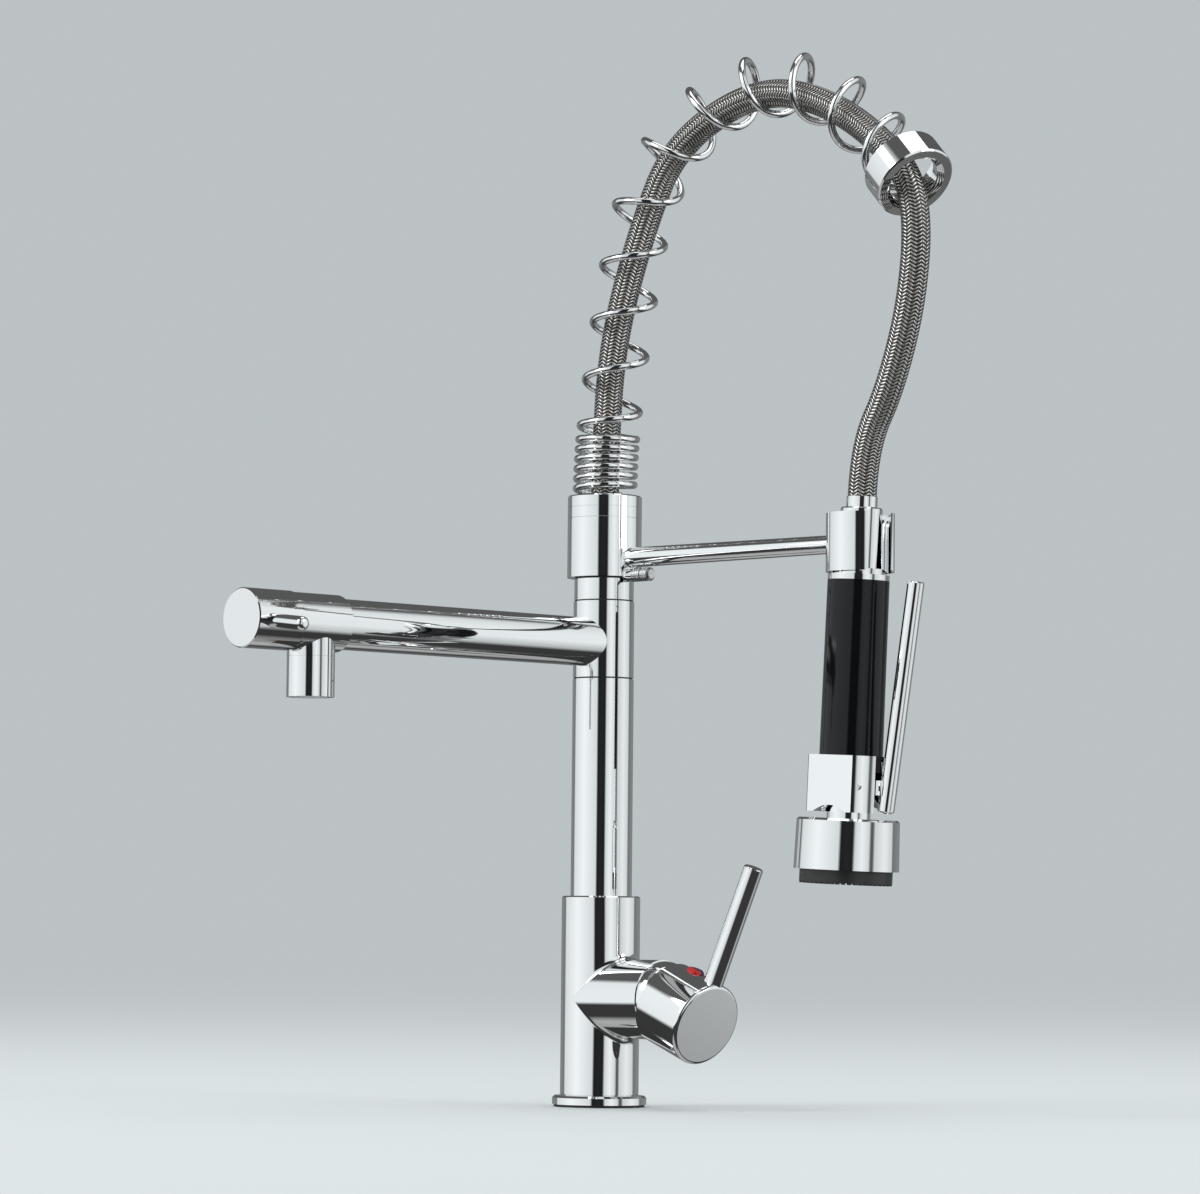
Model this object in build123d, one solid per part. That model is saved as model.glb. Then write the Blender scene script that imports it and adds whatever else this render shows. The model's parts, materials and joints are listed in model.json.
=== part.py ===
from build123d import *
import math
import os

# Pull-out kitchen mixer tap, in millimetres.
# The origin is on the column axis at the deck face, +Z is up, -Y is the front, +X is the handle side.

# Clearances
RUN_FIT = 0.05
FREE_GAP = 0.3
THREAD_FIT = 0.05

# Broken edges
EDGE_CHAMFER = 0.8
SMALL_CHAMFER = 0.6
SEAM_CHAMFER = 0.35

# Base, shank and fixing
FLANGE_RADIUS = 27.0
FLANGE_HEIGHT = 5.0
FLANGE_CHAMFER = 1.2
GASKET_INSET = 1.0
GASKET_HEIGHT = 1.2
SHANK_RADIUS = 16.0
SHANK_WALL = 3.0
SHANK_DEPTH = 50.0
SHANK_ENGAGEMENT = 10.0
DECK_THICKNESS = 15.0
WASHER_RADIUS = 25.0
RUBBER_WASHER_HEIGHT = 3.0
STEEL_WASHER_HEIGHT = 1.5
NUT_ACROSS_FLATS = 41.0
NUT_HEIGHT = 8.0

# Mixer body and its water ways
BODY_RADIUS = 22.5
BODY_TOP = 120.0
BOSS_HEIGHT = 61.45
BOSS_LENGTH = 50.0
MOUTH_WALL = 2.5
INLET_OFFSET = 6.3
INLET_RADIUS = 4.5
INLET_DEPTH = 12.0
INLET_WAY_RADIUS = 3.5
INLET_PORT_DROP = 8.0
OUTLET_WAY_RADIUS = 5.0
OUTLET_PORT_RISE = 8.5

# Mixing cartridge
CARTRIDGE_RADIUS = 17.5
CARTRIDGE_LENGTH = 22.0
CARTRIDGE_WALL = 3.0
DISC_THICKNESS = 3.0
PORT_RADIUS = 3.0
WINDOW_WIDTH = 9.0
WINDOW_HEIGHT = 22.0
CARTRIDGE_NUT_LENGTH = 8.0
SKIRT_LENGTH = 6.0
CARRIER_PLATE = 7.0
CARRIER_NECK_RADIUS = 9.6
CARRIER_NECK_LENGTH = 16.3
FORK_ROOM = 0.6
FORK_THICKNESS = 3.2
FORK_HALF_HEIGHT = 5.5
FORK_REACH = 5.0
LIFT_PIN_RADIUS = 2.0

# Handle
HANDLE_TURN = -5.2
HANDLE_TILT = 21.0
BALL_GAP = 0.65
BALL_WALL = 2.5
BALL_ROOM = 2.1
OPENING_ROOM = 1.3
DOME_WALL = 1.25
DOME_START = 5.0
DOME_FRONT = 14.7
DOME_FILLET = 2.0
STEM_RADIUS = 5.0
STEM_TAIL = 8.0
STEM_ENGAGEMENT = 7.0
ROD_RADIUS = 5.6
ROD_MARGIN = 0.3
ROD_ROOT = 9.0
ROD_LENGTH = 69.0
PLUG_RADIUS = 5.0
PLUG_PLACE = 17.0
PLUG_RISE = 1.6
PLUG_CHAMFER = 1.0
GRUB_RADIUS = 2.0
GRUB_DEPTH = 1.5
GRUB_SOCKET_RADIUS = 1.2
GRUB_SOCKET_DEPTH = 2.0

# Column
COLUMN_RADIUS = 17.6
COLUMN_WALL = 2.5
COLUMN_LENGTH = 124.7
CONNECTOR_WALL = 4.0
CONNECTOR_DEPTH = 14.0
SPINDLE_RADIUS = 12.0
SPINDLE_BORE = 5.5
SPINDLE_PORT_RADIUS = 4.0
SPINDLE_PLUG_DEPTH = 22.0
SPINDLE_TIP = 4.4
GLIDE_HEIGHT = 0.8
HUB_INSET = 0.1
HUB_LENGTH = 45.6
HUB_WALL = 3.0
HUB_CHANNEL_HALF = 6.0
SPACER_INSET = 0.45
SPACER_LENGTH = 12.9
SEAL_SECTION = 0.9
SEAL_PLACE = 5.0

# Collar of the arm
COLLAR_RADIUS = 21.4
COLLAR_BORE_LENGTH = 24.4
COLLAR_HEADROOM = 5.3
COLLAR_RING_HEIGHT = 6.7
COUNTERBORE_ROOM = 1.5
CIRCLIP_THICKNESS = 1.2
CIRCLIP_REACH = 2.0
CIRCLIP_SEAT = 1.0
CIRCLIP_OPENING = 7.0
LOWER_FERRULE_RADIUS = 9.0
FERRULE_FLANGE_ROOM = 2.5
FERRULE_FLANGE_HEIGHT = 3.0

# Side spout
SPOUT_AZIMUTH = -92.0
SPOUT_RISE = 21.1
SPOUT_RADIUS = 14.0
SPOUT_WALL = 2.2
TEE_WALL = 1.8
TEE_START = 200.5
TEE_LENGTH = 33.5
TEE_SOCKET = 8.0
NOZZLE_RADIUS = 13.1
NOZZLE_NECK = 2.8
NOZZLE_LENGTH = 22.2
NOZZLE_LIP = 1.6
NOZZLE_LIP_REACH = 1.0
NOZZLE_THREAD_WALL = 1.8
NOZZLE_THREAD_LENGTH = 7.0
NOZZLE_WATER_WALL = 2.0
AERATOR_HOLE_RADIUS = 1.4
AERATOR_CENTRE_RADIUS = 0.8
AERATOR_FIRST_ROW = 3.6
AERATOR_ROW_PITCH = 4.0
AERATOR_ROW_COUNT = 2
AERATOR_FIRST_COUNT = 6
KNOB_STEP = 0.5
KNOB_LENGTH = 31.7
PEG_RADIUS = 3.9
PEG_SET_BACK = 8.5
PEG_LENGTH = 28.0
PEG_DROP = 6.5
VALVE_WALL = 3.8
VALVE_LENGTH = 14.0
VALVE_FLOOR = 4.0
VALVE_STEM_RADIUS = 4.0

# Arm and clip
ARM_AZIMUTH = 3.5
ARM_RISE = 11.1
ARM_ROOT_RADIUS = 5.8
ARM_FLARE = 0.4
ARM_FLARE_LENGTH = 2.5
ARM_TIP_RADIUS = 5.1
ARM_SPIGOT_RADIUS = 3.0
ARM_SPIGOT_DEPTH = 7.4
CLIP_REACH = 188.2
CLIP_RADIUS = 18.95
CLIP_WALL = 1.8
CLIP_DROP = 16.4
CLIP_HEIGHT = 32.4
CLIP_SLOT_ROOM = 3.0
CLIP_SLOT_TURN = -8.5
CLAMP_TURN = -3.5
CLAMP_RADIUS = 3.9
CLAMP_LUG_GAP = 1.05
CLAMP_LUG_REACH = 3.6
CLAMP_LUG_SINK = 1.0
CLAMP_HEAD_LENGTH = 13.4
CLAMP_CHAMFER = 1.2
CLAMP_GROOVE_DEPTH = 0.5
CLAMP_GROOVE_HALF = 0.4
CLAMP_SHANK_RADIUS = 2.0

# Spray head, on an axis that leans outward at its top
HEAD_TILT = 2.74
HEAD_SEAT = 16.25
FERRULE_WALL = 0.6
FERRULE_LENGTH = 6.0
NECK_RADIUS = 11.6
NECK_RISE = 3.25
NECK_SHOULDER_ROOM = 2.65
NECK_SHOULDER_HEIGHT = 3.2
BAND_GAP = 1.35
BAND_RADIUS = 17.0
BAND_HEIGHT = 3.1
GRIP_TOP_RADIUS = 17.1
GRIP_BOTTOM_RADIUS = 17.5
GRIP_LENGTH = 96.5
GRIP_WALL = 2.5
CORE_RADIUS = 10.0
CORE_FLANGE = 3.0
HEAD_BORE = 4.5
BLOCK_HEIGHT = 31.1
BLOCK_RADIUS = 23.4
BLOCK_FLAT = 17.8
BLOCK_SLOT = 13.0
BLOCK_SLOT_DEPTH = 14.0
BLOCK_BOSS_WALL = 1.4
COUNTERBORE_RADIUS = 21.0
COUNTERBORE_TOP_STEP = 0.2
COUNTERBORE_DEPTH = 8.6
POCKET_HALF_HEIGHT = 8.3
POCKET_BACK = -4.0
SHROUD_GAP = 3.5
SHROUD_HEIGHT = 28.1
SHROUD_TOP_RADIUS = 28.35
SHROUD_FLARE = 0.65
SHROUD_WALL = 1.45
SHROUD_CHAMFER = 1.2
SHROUD_ROOF = 3.0
SHROUD_HUB_RADIUS = 12.0
SHROUD_HUB_GAP = 1.4
CHAMBER_RECESS = 7.9
CHAMBER_WALL = 3.0
CHAMBER_HOLE_RADIUS = 2.2
CHAMBER_HOLE_REACH = 12.0
CHAMBER_HOLE_COUNT = 6
NOZZLE_RING_GAP = 1.3
NOZZLE_RING_WALL = 3.6
NOZZLE_RING_REACH = 7.8
LEDGE_HEIGHT = 4.2
LEDGE_WIDTH = 1.5
TOOTH_COUNT = 46
TOOTH_DEPTH = 0.9
TOOTH_SHARE = 0.62
PLATE_THICKNESS = 2.6
NUB_RADIUS = 0.9
NUB_HEIGHT = 1.1
NUB_FIRST_ROW = 5.0
NUB_ROW_PITCH = 5.5
NUB_ROW_COUNT = 3
NUB_FIRST_COUNT = 6

# Trigger lever of the spray head
LEVER_RADIUS = 4.7
LEVER_TOP_DROP = 0.5
LEVER_TOP_REACH = 39.9
LEVER_FOOT = 0.9
LEVER_BOTTOM_REACH = 25.8
LEVER_PIN_REACH = 17.0
LEVER_PIN_DEPTH = 17.1
LEVER_PIN_RADIUS = 2.0
TONGUE_ROOM = 0.5
TONGUE_HALF_HEIGHT = 4.0
TONGUE_INNER_REACH = 0.5
PLUNGER_REACH = 3.2
PLUNGER_RADIUS = 2.5
PLUNGER_WAY_ROOM = 1.0
PLUNGER_DEPTH = 5.2
PLUNGER_HEAD_RADIUS = 3.2
PLUNGER_HEAD_HEIGHT = 1.2

# Spring: its axis is a chain of tangent arcs in the arm plane, each a length and a turn in degrees
WIRE_RADIUS = 2.1
COIL_INSET = 2.4
SPRING_ARC_LENGTHS = [40.0, 112.0, 136.0, 59.0, 69.0]
SPRING_ARC_DEGREES = [7.0, 7.0, 77.5, 35.0, 8.5]
SIDE_DRIFT = 11.7
SIDE_DRIFT_START = 270.0
STACK_PITCH = 5.5
OPEN_PITCH = 33.0
ARCH_PITCH = 37.0
STACK_TURNS = 5.85
ARCH_TURNS = 9.6
BLEND_TURNS = 1.2
COIL_START_ANGLE = 112.5
TANG_BEND = 5.0
TANG_HOLE_ROOM = 1.1

# Ring at the free end of the spring
END_RING_LENGTH = 18.0
END_RING_LIP = 8.0
END_RING_WALL = 2.2
END_RING_ROOM = 1.3
END_RING_MOUTH_CHAMFER = 2.8

# Hose: corners of its route in the arm plane, each reach, side and height
HOSE_RADIUS = 8.0
HOSE_ROOM = 1.0
HOSE_ROUTE = [
    (0.0, 0.0, 378.5), (4.8, 0.0, 441.1), (27.2, 0.0, 505.6), (51.9, -0.3, 551.0), (113.6, -1.5, 576.0),
    (169.5, -4.5, 561.8), (223.8, -10.5, 522.8), (236.1, -12.0, 491.4), (224.9, -8.0, 441.5), (209.0, -3.0, 399.2),
]
HOSE_LAST_RUN = 34.0
HOSE_ROUND_SHARE = 0.45

# Radii that follow from the driving dimensions
GASKET_RADIUS = FLANGE_RADIUS - GASKET_INSET
MOUTH_RADIUS = BODY_RADIUS - MOUTH_WALL
DOME_BORE = BODY_RADIUS + RUN_FIT
DOME_RADIUS = DOME_BORE + DOME_WALL
BALL_RADIUS = DOME_BORE - BALL_GAP
STEM_SPREAD = math.radians(HANDLE_TILT) + math.asin(STEM_RADIUS / BALL_RADIUS)
BALL_OPENING = BALL_RADIUS * math.sin(STEM_SPREAD) + OPENING_ROOM
FORK_GAP = STEM_RADIUS + FORK_ROOM
CARTRIDGE_NUT_HOLE = math.hypot(FORK_GAP + FORK_THICKNESS, FORK_HALF_HEIGHT) + FORK_ROOM
COLUMN_BORE = COLUMN_RADIUS - COLUMN_WALL
HUB_RADIUS = COLUMN_RADIUS - HUB_INSET
SPACER_RADIUS = COLUMN_RADIUS - SPACER_INSET
COLLAR_COUNTERBORE = SPINDLE_RADIUS + CIRCLIP_REACH + COUNTERBORE_ROOM
LOWER_FERRULE_FLANGE = COLLAR_COUNTERBORE - FERRULE_FLANGE_ROOM
TEE_RADIUS = SPOUT_RADIUS + TEE_WALL
KNOB_RADIUS = TEE_RADIUS + KNOB_STEP
VALVE_RADIUS = TEE_RADIUS - VALVE_WALL
NOZZLE_THREAD_RADIUS = NOZZLE_RADIUS - NOZZLE_THREAD_WALL
CLIP_BORE = CLIP_RADIUS - CLIP_WALL
CLIP_SLOT = 2 * HOSE_RADIUS + CLIP_SLOT_ROOM
FERRULE_RADIUS = HOSE_RADIUS + FERRULE_WALL
NECK_SHOULDER_RADIUS = CLIP_BORE - NECK_SHOULDER_ROOM
SHROUD_BOTTOM_RADIUS = SHROUD_TOP_RADIUS + SHROUD_FLARE
SHROUD_BORE = SHROUD_TOP_RADIUS - SHROUD_WALL
NOZZLE_RING_RADIUS = SHROUD_BORE - NOZZLE_RING_GAP
NOZZLE_RING_HOLE = NOZZLE_RING_RADIUS - NOZZLE_RING_WALL
NOZZLE_RING_LEDGE_HOLE = NOZZLE_RING_HOLE - LEDGE_WIDTH
TONGUE_HALF_WIDTH = BLOCK_SLOT / 2 - TONGUE_ROOM
COIL_RADIUS = COLLAR_RADIUS - WIRE_RADIUS - COIL_INSET
TANG_HOLE_RADIUS = WIRE_RADIUS + TANG_HOLE_ROOM
TANG_STRAIGHT = 2 * WIRE_RADIUS
END_RING_BORE = COIL_RADIUS + WIRE_RADIUS + END_RING_ROOM
END_RING_RADIUS = END_RING_BORE + END_RING_WALL
END_RING_HOLE = COIL_RADIUS - WIRE_RADIUS - FREE_GAP

# Places along the boss, the handle and the spout
CAVITY_FLOOR = BOSS_LENGTH - SKIRT_LENGTH - CARTRIDGE_NUT_LENGTH - CARTRIDGE_LENGTH
CARRIER_START = CAVITY_FLOOR + CARTRIDGE_WALL + 2 * DISC_THICKNESS + 2 * RUN_FIT
CARRIER_NECK_END = CARRIER_START + CARRIER_NECK_LENGTH
DOME_BORE_DEPTH = BALL_RADIUS + BALL_ROOM
DOME_END = DOME_BORE_DEPTH + DOME_FRONT
STEM_END = DOME_BORE_DEPTH + STEM_ENGAGEMENT
ROD_PLACE = DOME_END - ROD_RADIUS - ROD_MARGIN
TEE_END = TEE_START + TEE_LENGTH
KNOB_END = TEE_END + KNOB_LENGTH
STEM_STOP = KNOB_END - 2 * PEG_SET_BACK
NOZZLE_REACH = (TEE_START + TEE_END) / 2

# Heights from the deck up
FLANGE_TOP = GASKET_HEIGHT + FLANGE_HEIGHT
SHANK_TOP = FLANGE_TOP + SHANK_ENGAGEMENT
COLUMN_TOP = BODY_TOP + COLUMN_LENGTH
HUB_BOTTOM = COLUMN_TOP + GLIDE_HEIGHT
HUB_TOP = COLUMN_TOP + HUB_LENGTH
HUB_UPPER = HUB_TOP - GLIDE_HEIGHT
SPACER_TOP = HUB_TOP + SPACER_LENGTH
SPACER_UPPER = SPACER_TOP - GLIDE_HEIGHT
COLLAR_BORE_TOP = SPACER_TOP + COLLAR_BORE_LENGTH
SPINDLE_TOP = COLLAR_BORE_TOP + SPINDLE_TIP
COLLAR_SLEEVE_TOP = SPINDLE_TOP + COLLAR_HEADROOM
MIDDLE_RING_TOP = COLLAR_SLEEVE_TOP + COLLAR_RING_HEIGHT
TOP_RING_TOP = MIDDLE_RING_TOP + COLLAR_RING_HEIGHT
SPOUT_HEIGHT = COLUMN_TOP + SPOUT_RISE
NOZZLE_SEAM = SPOUT_HEIGHT - TEE_RADIUS - NOZZLE_NECK
NOZZLE_BOTTOM = NOZZLE_SEAM - NOZZLE_LENGTH
NOZZLE_THREAD_END = NOZZLE_SEAM - NOZZLE_THREAD_LENGTH
ARM_HEIGHT = SPACER_TOP + ARM_RISE
CLIP_BOTTOM = ARM_HEIGHT - CLIP_DROP
CLIP_TOP = CLIP_BOTTOM + CLIP_HEIGHT
HEAD_CENTRE = CLIP_BOTTOM + HEAD_SEAT

# The clamp screw under the arm
CLAMP_HEIGHT = ARM_HEIGHT - ARM_ROOT_RADIUS - ARM_FLARE - FREE_GAP - CLAMP_RADIUS
CLAMP_LUG_START = SPACER_RADIUS + CLAMP_LUG_GAP
CLAMP_LUG_END = COLLAR_RADIUS + CLAMP_LUG_REACH
CLAMP_SCREW_END = CLAMP_LUG_END + CLAMP_HEAD_LENGTH

# Levels of the spray head on its own axis, from its centre
NECK_TOP = CLIP_HEIGHT - HEAD_SEAT + NECK_RISE
FERRULE_TOP = NECK_TOP + FERRULE_LENGTH
BAND_TOP = -HEAD_SEAT - BAND_GAP
NECK_SHOULDER_TOP = BAND_TOP + NECK_SHOULDER_HEIGHT
GRIP_TOP = BAND_TOP - BAND_HEIGHT
BLOCK_TOP = GRIP_TOP - GRIP_LENGTH
BLOCK_BOTTOM = BLOCK_TOP - BLOCK_HEIGHT
LEVER_PIN_LEVEL = BLOCK_TOP - LEVER_PIN_DEPTH
POCKET_TOP = LEVER_PIN_LEVEL + POCKET_HALF_HEIGHT
POCKET_BOTTOM = LEVER_PIN_LEVEL - POCKET_HALF_HEIGHT
SHROUD_HUB_TOP = POCKET_BOTTOM - SHROUD_HUB_GAP
SHROUD_TOP = BLOCK_BOTTOM - SHROUD_GAP
SHROUD_BOTTOM = SHROUD_TOP - SHROUD_HEIGHT
CHAMBER_BOTTOM = SHROUD_BOTTOM + CHAMBER_RECESS
NOZZLE_RING_BOTTOM = SHROUD_BOTTOM - NOZZLE_RING_REACH
NOZZLE_RING_LEDGE = NOZZLE_RING_BOTTOM + LEDGE_HEIGHT
LEVER_TOP = GRIP_TOP - LEVER_TOP_DROP
LEVER_BOTTOM = BLOCK_BOTTOM + LEVER_FOOT
PLUNGER_BOTTOM = SHROUD_TOP - SHROUD_ROOF - PLUNGER_DEPTH

UP = (Align.CENTER, Align.CENTER, Align.MIN)
ALONG_X = Rot(0, 90, 0)


def disc(radius, bottom, top, hole=0.0):
    """A round piece about local Z between two heights, with an optional hole."""
    solid = Pos(0, 0, bottom) * Cylinder(radius, top - bottom, align=UP)
    if hole:
        solid -= Pos(0, 0, bottom) * Cylinder(hole, top - bottom, align=UP)
    return solid


def turned(profile):
    """A solid turned about local Z from (radius, height) corners."""
    return revolve(make_face(Polyline(*[(r, 0, z) for r, z in profile], close=True)), Axis.Z)


def bar(radius, start, end, frame=Location()):
    """A round bar along local X of a frame."""
    return frame * Pos(start, 0, 0) * ALONG_X * Cylinder(radius, end - start, align=UP)


# Frames of the parts that do not stand on the column axis
PIVOT = Pos(BOSS_LENGTH, 0, BOSS_HEIGHT)
TURNED_FRAME = PIVOT * Rot(HANDLE_TURN, 0, 0)
HANDLE_FRAME = TURNED_FRAME * Rot(0, HANDLE_TILT, 0)
BOSS_FRAME = Pos(0, 0, BOSS_HEIGHT)
SPOUT_FRAME = Rot(0, 0, SPOUT_AZIMUTH) * Pos(0, 0, SPOUT_HEIGHT)
NOZZLE_FRAME = Rot(0, 0, SPOUT_AZIMUTH) * Pos(NOZZLE_REACH, 0, 0)
ARM_FRAME = Rot(0, 0, ARM_AZIMUTH)
CLIP_FRAME = ARM_FRAME * Pos(CLIP_REACH, 0, 0)
HEAD_FRAME = CLIP_FRAME * Pos(0, 0, HEAD_CENTRE) * Rot(0, HEAD_TILT, 0)


def base_gasket():
    return disc(GASKET_RADIUS, 0, GASKET_HEIGHT, SHANK_RADIUS + FREE_GAP)


def base_flange():
    ring = disc(FLANGE_RADIUS, GASKET_HEIGHT, FLANGE_TOP, SHANK_RADIUS + FREE_GAP)
    rim = ring.edges().filter_by(GeomType.CIRCLE).group_by(Axis.Z)[-1].sort_by(SortBy.RADIUS)[-1]
    return chamfer(rim, FLANGE_CHAMFER)


def shank():
    return disc(SHANK_RADIUS, -SHANK_DEPTH, SHANK_TOP, SHANK_RADIUS - SHANK_WALL)


def rubber_washer():
    top = -DECK_THICKNESS
    return disc(WASHER_RADIUS, top - RUBBER_WASHER_HEIGHT, top, SHANK_RADIUS + FREE_GAP)


def steel_washer():
    top = -DECK_THICKNESS - RUBBER_WASHER_HEIGHT
    return disc(WASHER_RADIUS, top - STEEL_WASHER_HEIGHT, top, SHANK_RADIUS + FREE_GAP)


def lock_nut():
    top = -DECK_THICKNESS - RUBBER_WASHER_HEIGHT - STEEL_WASHER_HEIGHT
    outline = RegularPolygon(NUT_ACROSS_FLATS / 2, 6, major_radius=False)
    nut = Pos(0, 0, top - NUT_HEIGHT) * extrude(outline, NUT_HEIGHT)
    return nut - disc(SHANK_RADIUS + THREAD_FIT, top - NUT_HEIGHT, top)


def mixer_body():
    """The brass body: a column with the handle boss, the cartridge cavity and the water ways."""
    column = disc(BODY_RADIUS, FLANGE_TOP, BODY_TOP)
    ends = column.edges().filter_by(GeomType.CIRCLE)
    column = chamfer(ends, EDGE_CHAMFER)
    body = column + bar(BODY_RADIUS, 0, BOSS_LENGTH, BOSS_FRAME)
    body -= disc(SHANK_RADIUS + THREAD_FIT, FLANGE_TOP, SHANK_TOP)
    body -= bar(CARTRIDGE_RADIUS + FREE_GAP / 3, CAVITY_FLOOR, BOSS_LENGTH, BOSS_FRAME)
    mouth_start = CAVITY_FLOOR + CARTRIDGE_LENGTH
    body -= bar(MOUTH_RADIUS, mouth_start, BOSS_LENGTH, BOSS_FRAME)
    connector_bottom = BODY_TOP - CONNECTOR_DEPTH
    body -= disc(COLUMN_BORE, connector_bottom, BODY_TOP)
    outlet_height = BOSS_HEIGHT + OUTLET_PORT_RISE
    body -= disc(OUTLET_WAY_RADIUS, outlet_height - OUTLET_WAY_RADIUS, connector_bottom)
    body -= bar(OUTLET_WAY_RADIUS - 1, 0, CAVITY_FLOOR, Pos(0, 0, outlet_height))
    port_height = BOSS_HEIGHT - INLET_PORT_DROP
    for side in (-INLET_OFFSET, INLET_OFFSET):
        body -= Pos(0, side, 0) * disc(INLET_RADIUS, SHANK_TOP, SHANK_TOP + INLET_DEPTH)
        body -= Pos(0, side, 0) * disc(INLET_WAY_RADIUS, SHANK_TOP, port_height)
        body -= bar(INLET_WAY_RADIUS, 0, CAVITY_FLOOR, Pos(0, side, port_height))
    return body


def port_cuts(start, end):
    """The three water ports through a disc of the cartridge."""
    cuts = bar(PORT_RADIUS, start, end, Pos(0, 0, BOSS_HEIGHT + OUTLET_PORT_RISE))
    for side in (-INLET_OFFSET, INLET_OFFSET):
        cuts += bar(PORT_RADIUS, start, end, Pos(0, side, BOSS_HEIGHT - INLET_PORT_DROP))
    return cuts


def cartridge_housing():
    end = CAVITY_FLOOR + CARTRIDGE_LENGTH
    floor_end = CAVITY_FLOOR + CARTRIDGE_WALL
    housing = bar(CARTRIDGE_RADIUS, CAVITY_FLOOR, end, BOSS_FRAME)
    housing -= bar(CARTRIDGE_RADIUS - CARTRIDGE_WALL, floor_end, end, BOSS_FRAME)
    return housing - port_cuts(CAVITY_FLOOR, floor_end)


def ceramic_disc():
    start = CAVITY_FLOOR + CARTRIDGE_WALL
    plate = bar(CARTRIDGE_RADIUS - CARTRIDGE_WALL - FREE_GAP / 3, start, start + DISC_THICKNESS, BOSS_FRAME)
    return plate - port_cuts(start, start + DISC_THICKNESS)


def moving_disc():
    start = CAVITY_FLOOR + CARTRIDGE_WALL + DISC_THICKNESS + RUN_FIT
    plate = bar(CARTRIDGE_RADIUS - CARTRIDGE_WALL - FREE_GAP, start, start + DISC_THICKNESS, BOSS_FRAME)
    window = Box(2 * DISC_THICKNESS, WINDOW_WIDTH, WINDOW_HEIGHT)
    window = Pos(start, 0, BOSS_HEIGHT) * Rot(HANDLE_TURN, 0, 0) * window
    return plate - window


def cartridge_carrier():
    """The turning carrier: plate, neck and the fork that holds the lift pin."""
    plate_radius = CARTRIDGE_RADIUS - CARTRIDGE_WALL - RUN_FIT
    carrier = bar(plate_radius, CARRIER_START, CARRIER_START + CARRIER_PLATE, BOSS_FRAME)
    carrier += bar(CARRIER_NECK_RADIUS, CARRIER_START, CARRIER_NECK_END, BOSS_FRAME)
    fork_length = BOSS_LENGTH + FORK_REACH - CARRIER_NECK_END
    for side in (-1, 1):
        cheek = Box(fork_length, FORK_THICKNESS, 2 * FORK_HALF_HEIGHT)
        place = side * (FORK_GAP + FORK_THICKNESS / 2)
        carrier += TURNED_FRAME * Pos(FORK_REACH - fork_length / 2, place, 0) * cheek
    pin_length = 2 * (FORK_GAP + FORK_THICKNESS)
    carrier -= TURNED_FRAME * Rot(90, 0, 0) * Cylinder(LIFT_PIN_RADIUS, pin_length)
    return carrier


def lift_pin():
    pin_length = 2 * (FORK_GAP + FORK_THICKNESS)
    return TURNED_FRAME * Rot(90, 0, 0) * Cylinder(LIFT_PIN_RADIUS, pin_length)


def cartridge_nut():
    start = CAVITY_FLOOR + CARTRIDGE_LENGTH
    end = start + CARTRIDGE_NUT_LENGTH
    nut = bar(MOUTH_RADIUS - THREAD_FIT, start, end, BOSS_FRAME)
    return nut - bar(CARTRIDGE_NUT_HOLE, start, end, BOSS_FRAME)


def ball_cap():
    """The fixed half ball that the handle dome slides over, on its threaded skirt."""
    start = BOSS_LENGTH - SKIRT_LENGTH
    ball = PIVOT * Sphere(BALL_RADIUS)
    ball -= bar(2 * BALL_RADIUS, 0, BOSS_LENGTH, BOSS_FRAME)
    cap = ball + bar(MOUTH_RADIUS - THREAD_FIT, start, BOSS_LENGTH, BOSS_FRAME)
    cap -= PIVOT * Sphere(BALL_RADIUS - BALL_WALL)
    cap -= bar(BALL_RADIUS - BALL_WALL, 0, BOSS_LENGTH, BOSS_FRAME)
    return cap - bar(BALL_OPENING, BOSS_LENGTH, BOSS_LENGTH + 2 * BALL_RADIUS, BOSS_FRAME)


def handle_stem():
    stem = bar(STEM_RADIUS, -STEM_TAIL, STEM_END, HANDLE_FRAME)
    return stem - HANDLE_FRAME * Rot(90, 0, 0) * Cylinder(LIFT_PIN_RADIUS + RUN_FIT, 4 * STEM_RADIUS)


def handle_dome():
    """The hollow cap of the handle, with its socket, lever thread and plug seat."""
    dome = bar(DOME_RADIUS, DOME_START, DOME_END)
    front = dome.edges().filter_by(GeomType.CIRCLE).sort_by(Axis.X)[-1]
    dome = fillet(front, DOME_FILLET)
    dome -= bar(DOME_BORE, DOME_START, DOME_BORE_DEPTH)
    dome -= bar(STEM_RADIUS + RUN_FIT, DOME_BORE_DEPTH, STEM_END)
    dome -= Pos(ROD_PLACE, 0, 0) * disc(ROD_RADIUS + THREAD_FIT, ROD_ROOT, DOME_RADIUS)
    dome -= Pos(PLUG_PLACE, 0, 0) * disc(PLUG_RADIUS + THREAD_FIT, DOME_BORE / 2, DOME_RADIUS)
    grub_place = (DOME_BORE_DEPTH + STEM_END) / 2
    dome -= Pos(grub_place, 0, 0) * disc(GRUB_RADIUS + THREAD_FIT, -DOME_RADIUS, -STEM_RADIUS)
    return HANDLE_FRAME * dome


def handle_rod():
    rod = Pos(ROD_PLACE, 0, 0) * disc(ROD_RADIUS, ROD_ROOT, DOME_RADIUS + ROD_LENGTH)
    tip = rod.edges().filter_by(GeomType.CIRCLE).sort_by(Axis.Z)[-1]
    return HANDLE_FRAME * chamfer(tip, SMALL_CHAMFER)


def grub_screw():
    place = (DOME_BORE_DEPTH + STEM_END) / 2
    low = GRUB_DEPTH - DOME_RADIUS
    screw = Pos(place, 0, 0) * disc(GRUB_RADIUS, low, -STEM_RADIUS - RUN_FIT)
    socket = Pos(place, 0, low) * extrude(RegularPolygon(GRUB_SOCKET_RADIUS, 6), GRUB_SOCKET_DEPTH)
    return HANDLE_FRAME * (screw - socket)


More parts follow.
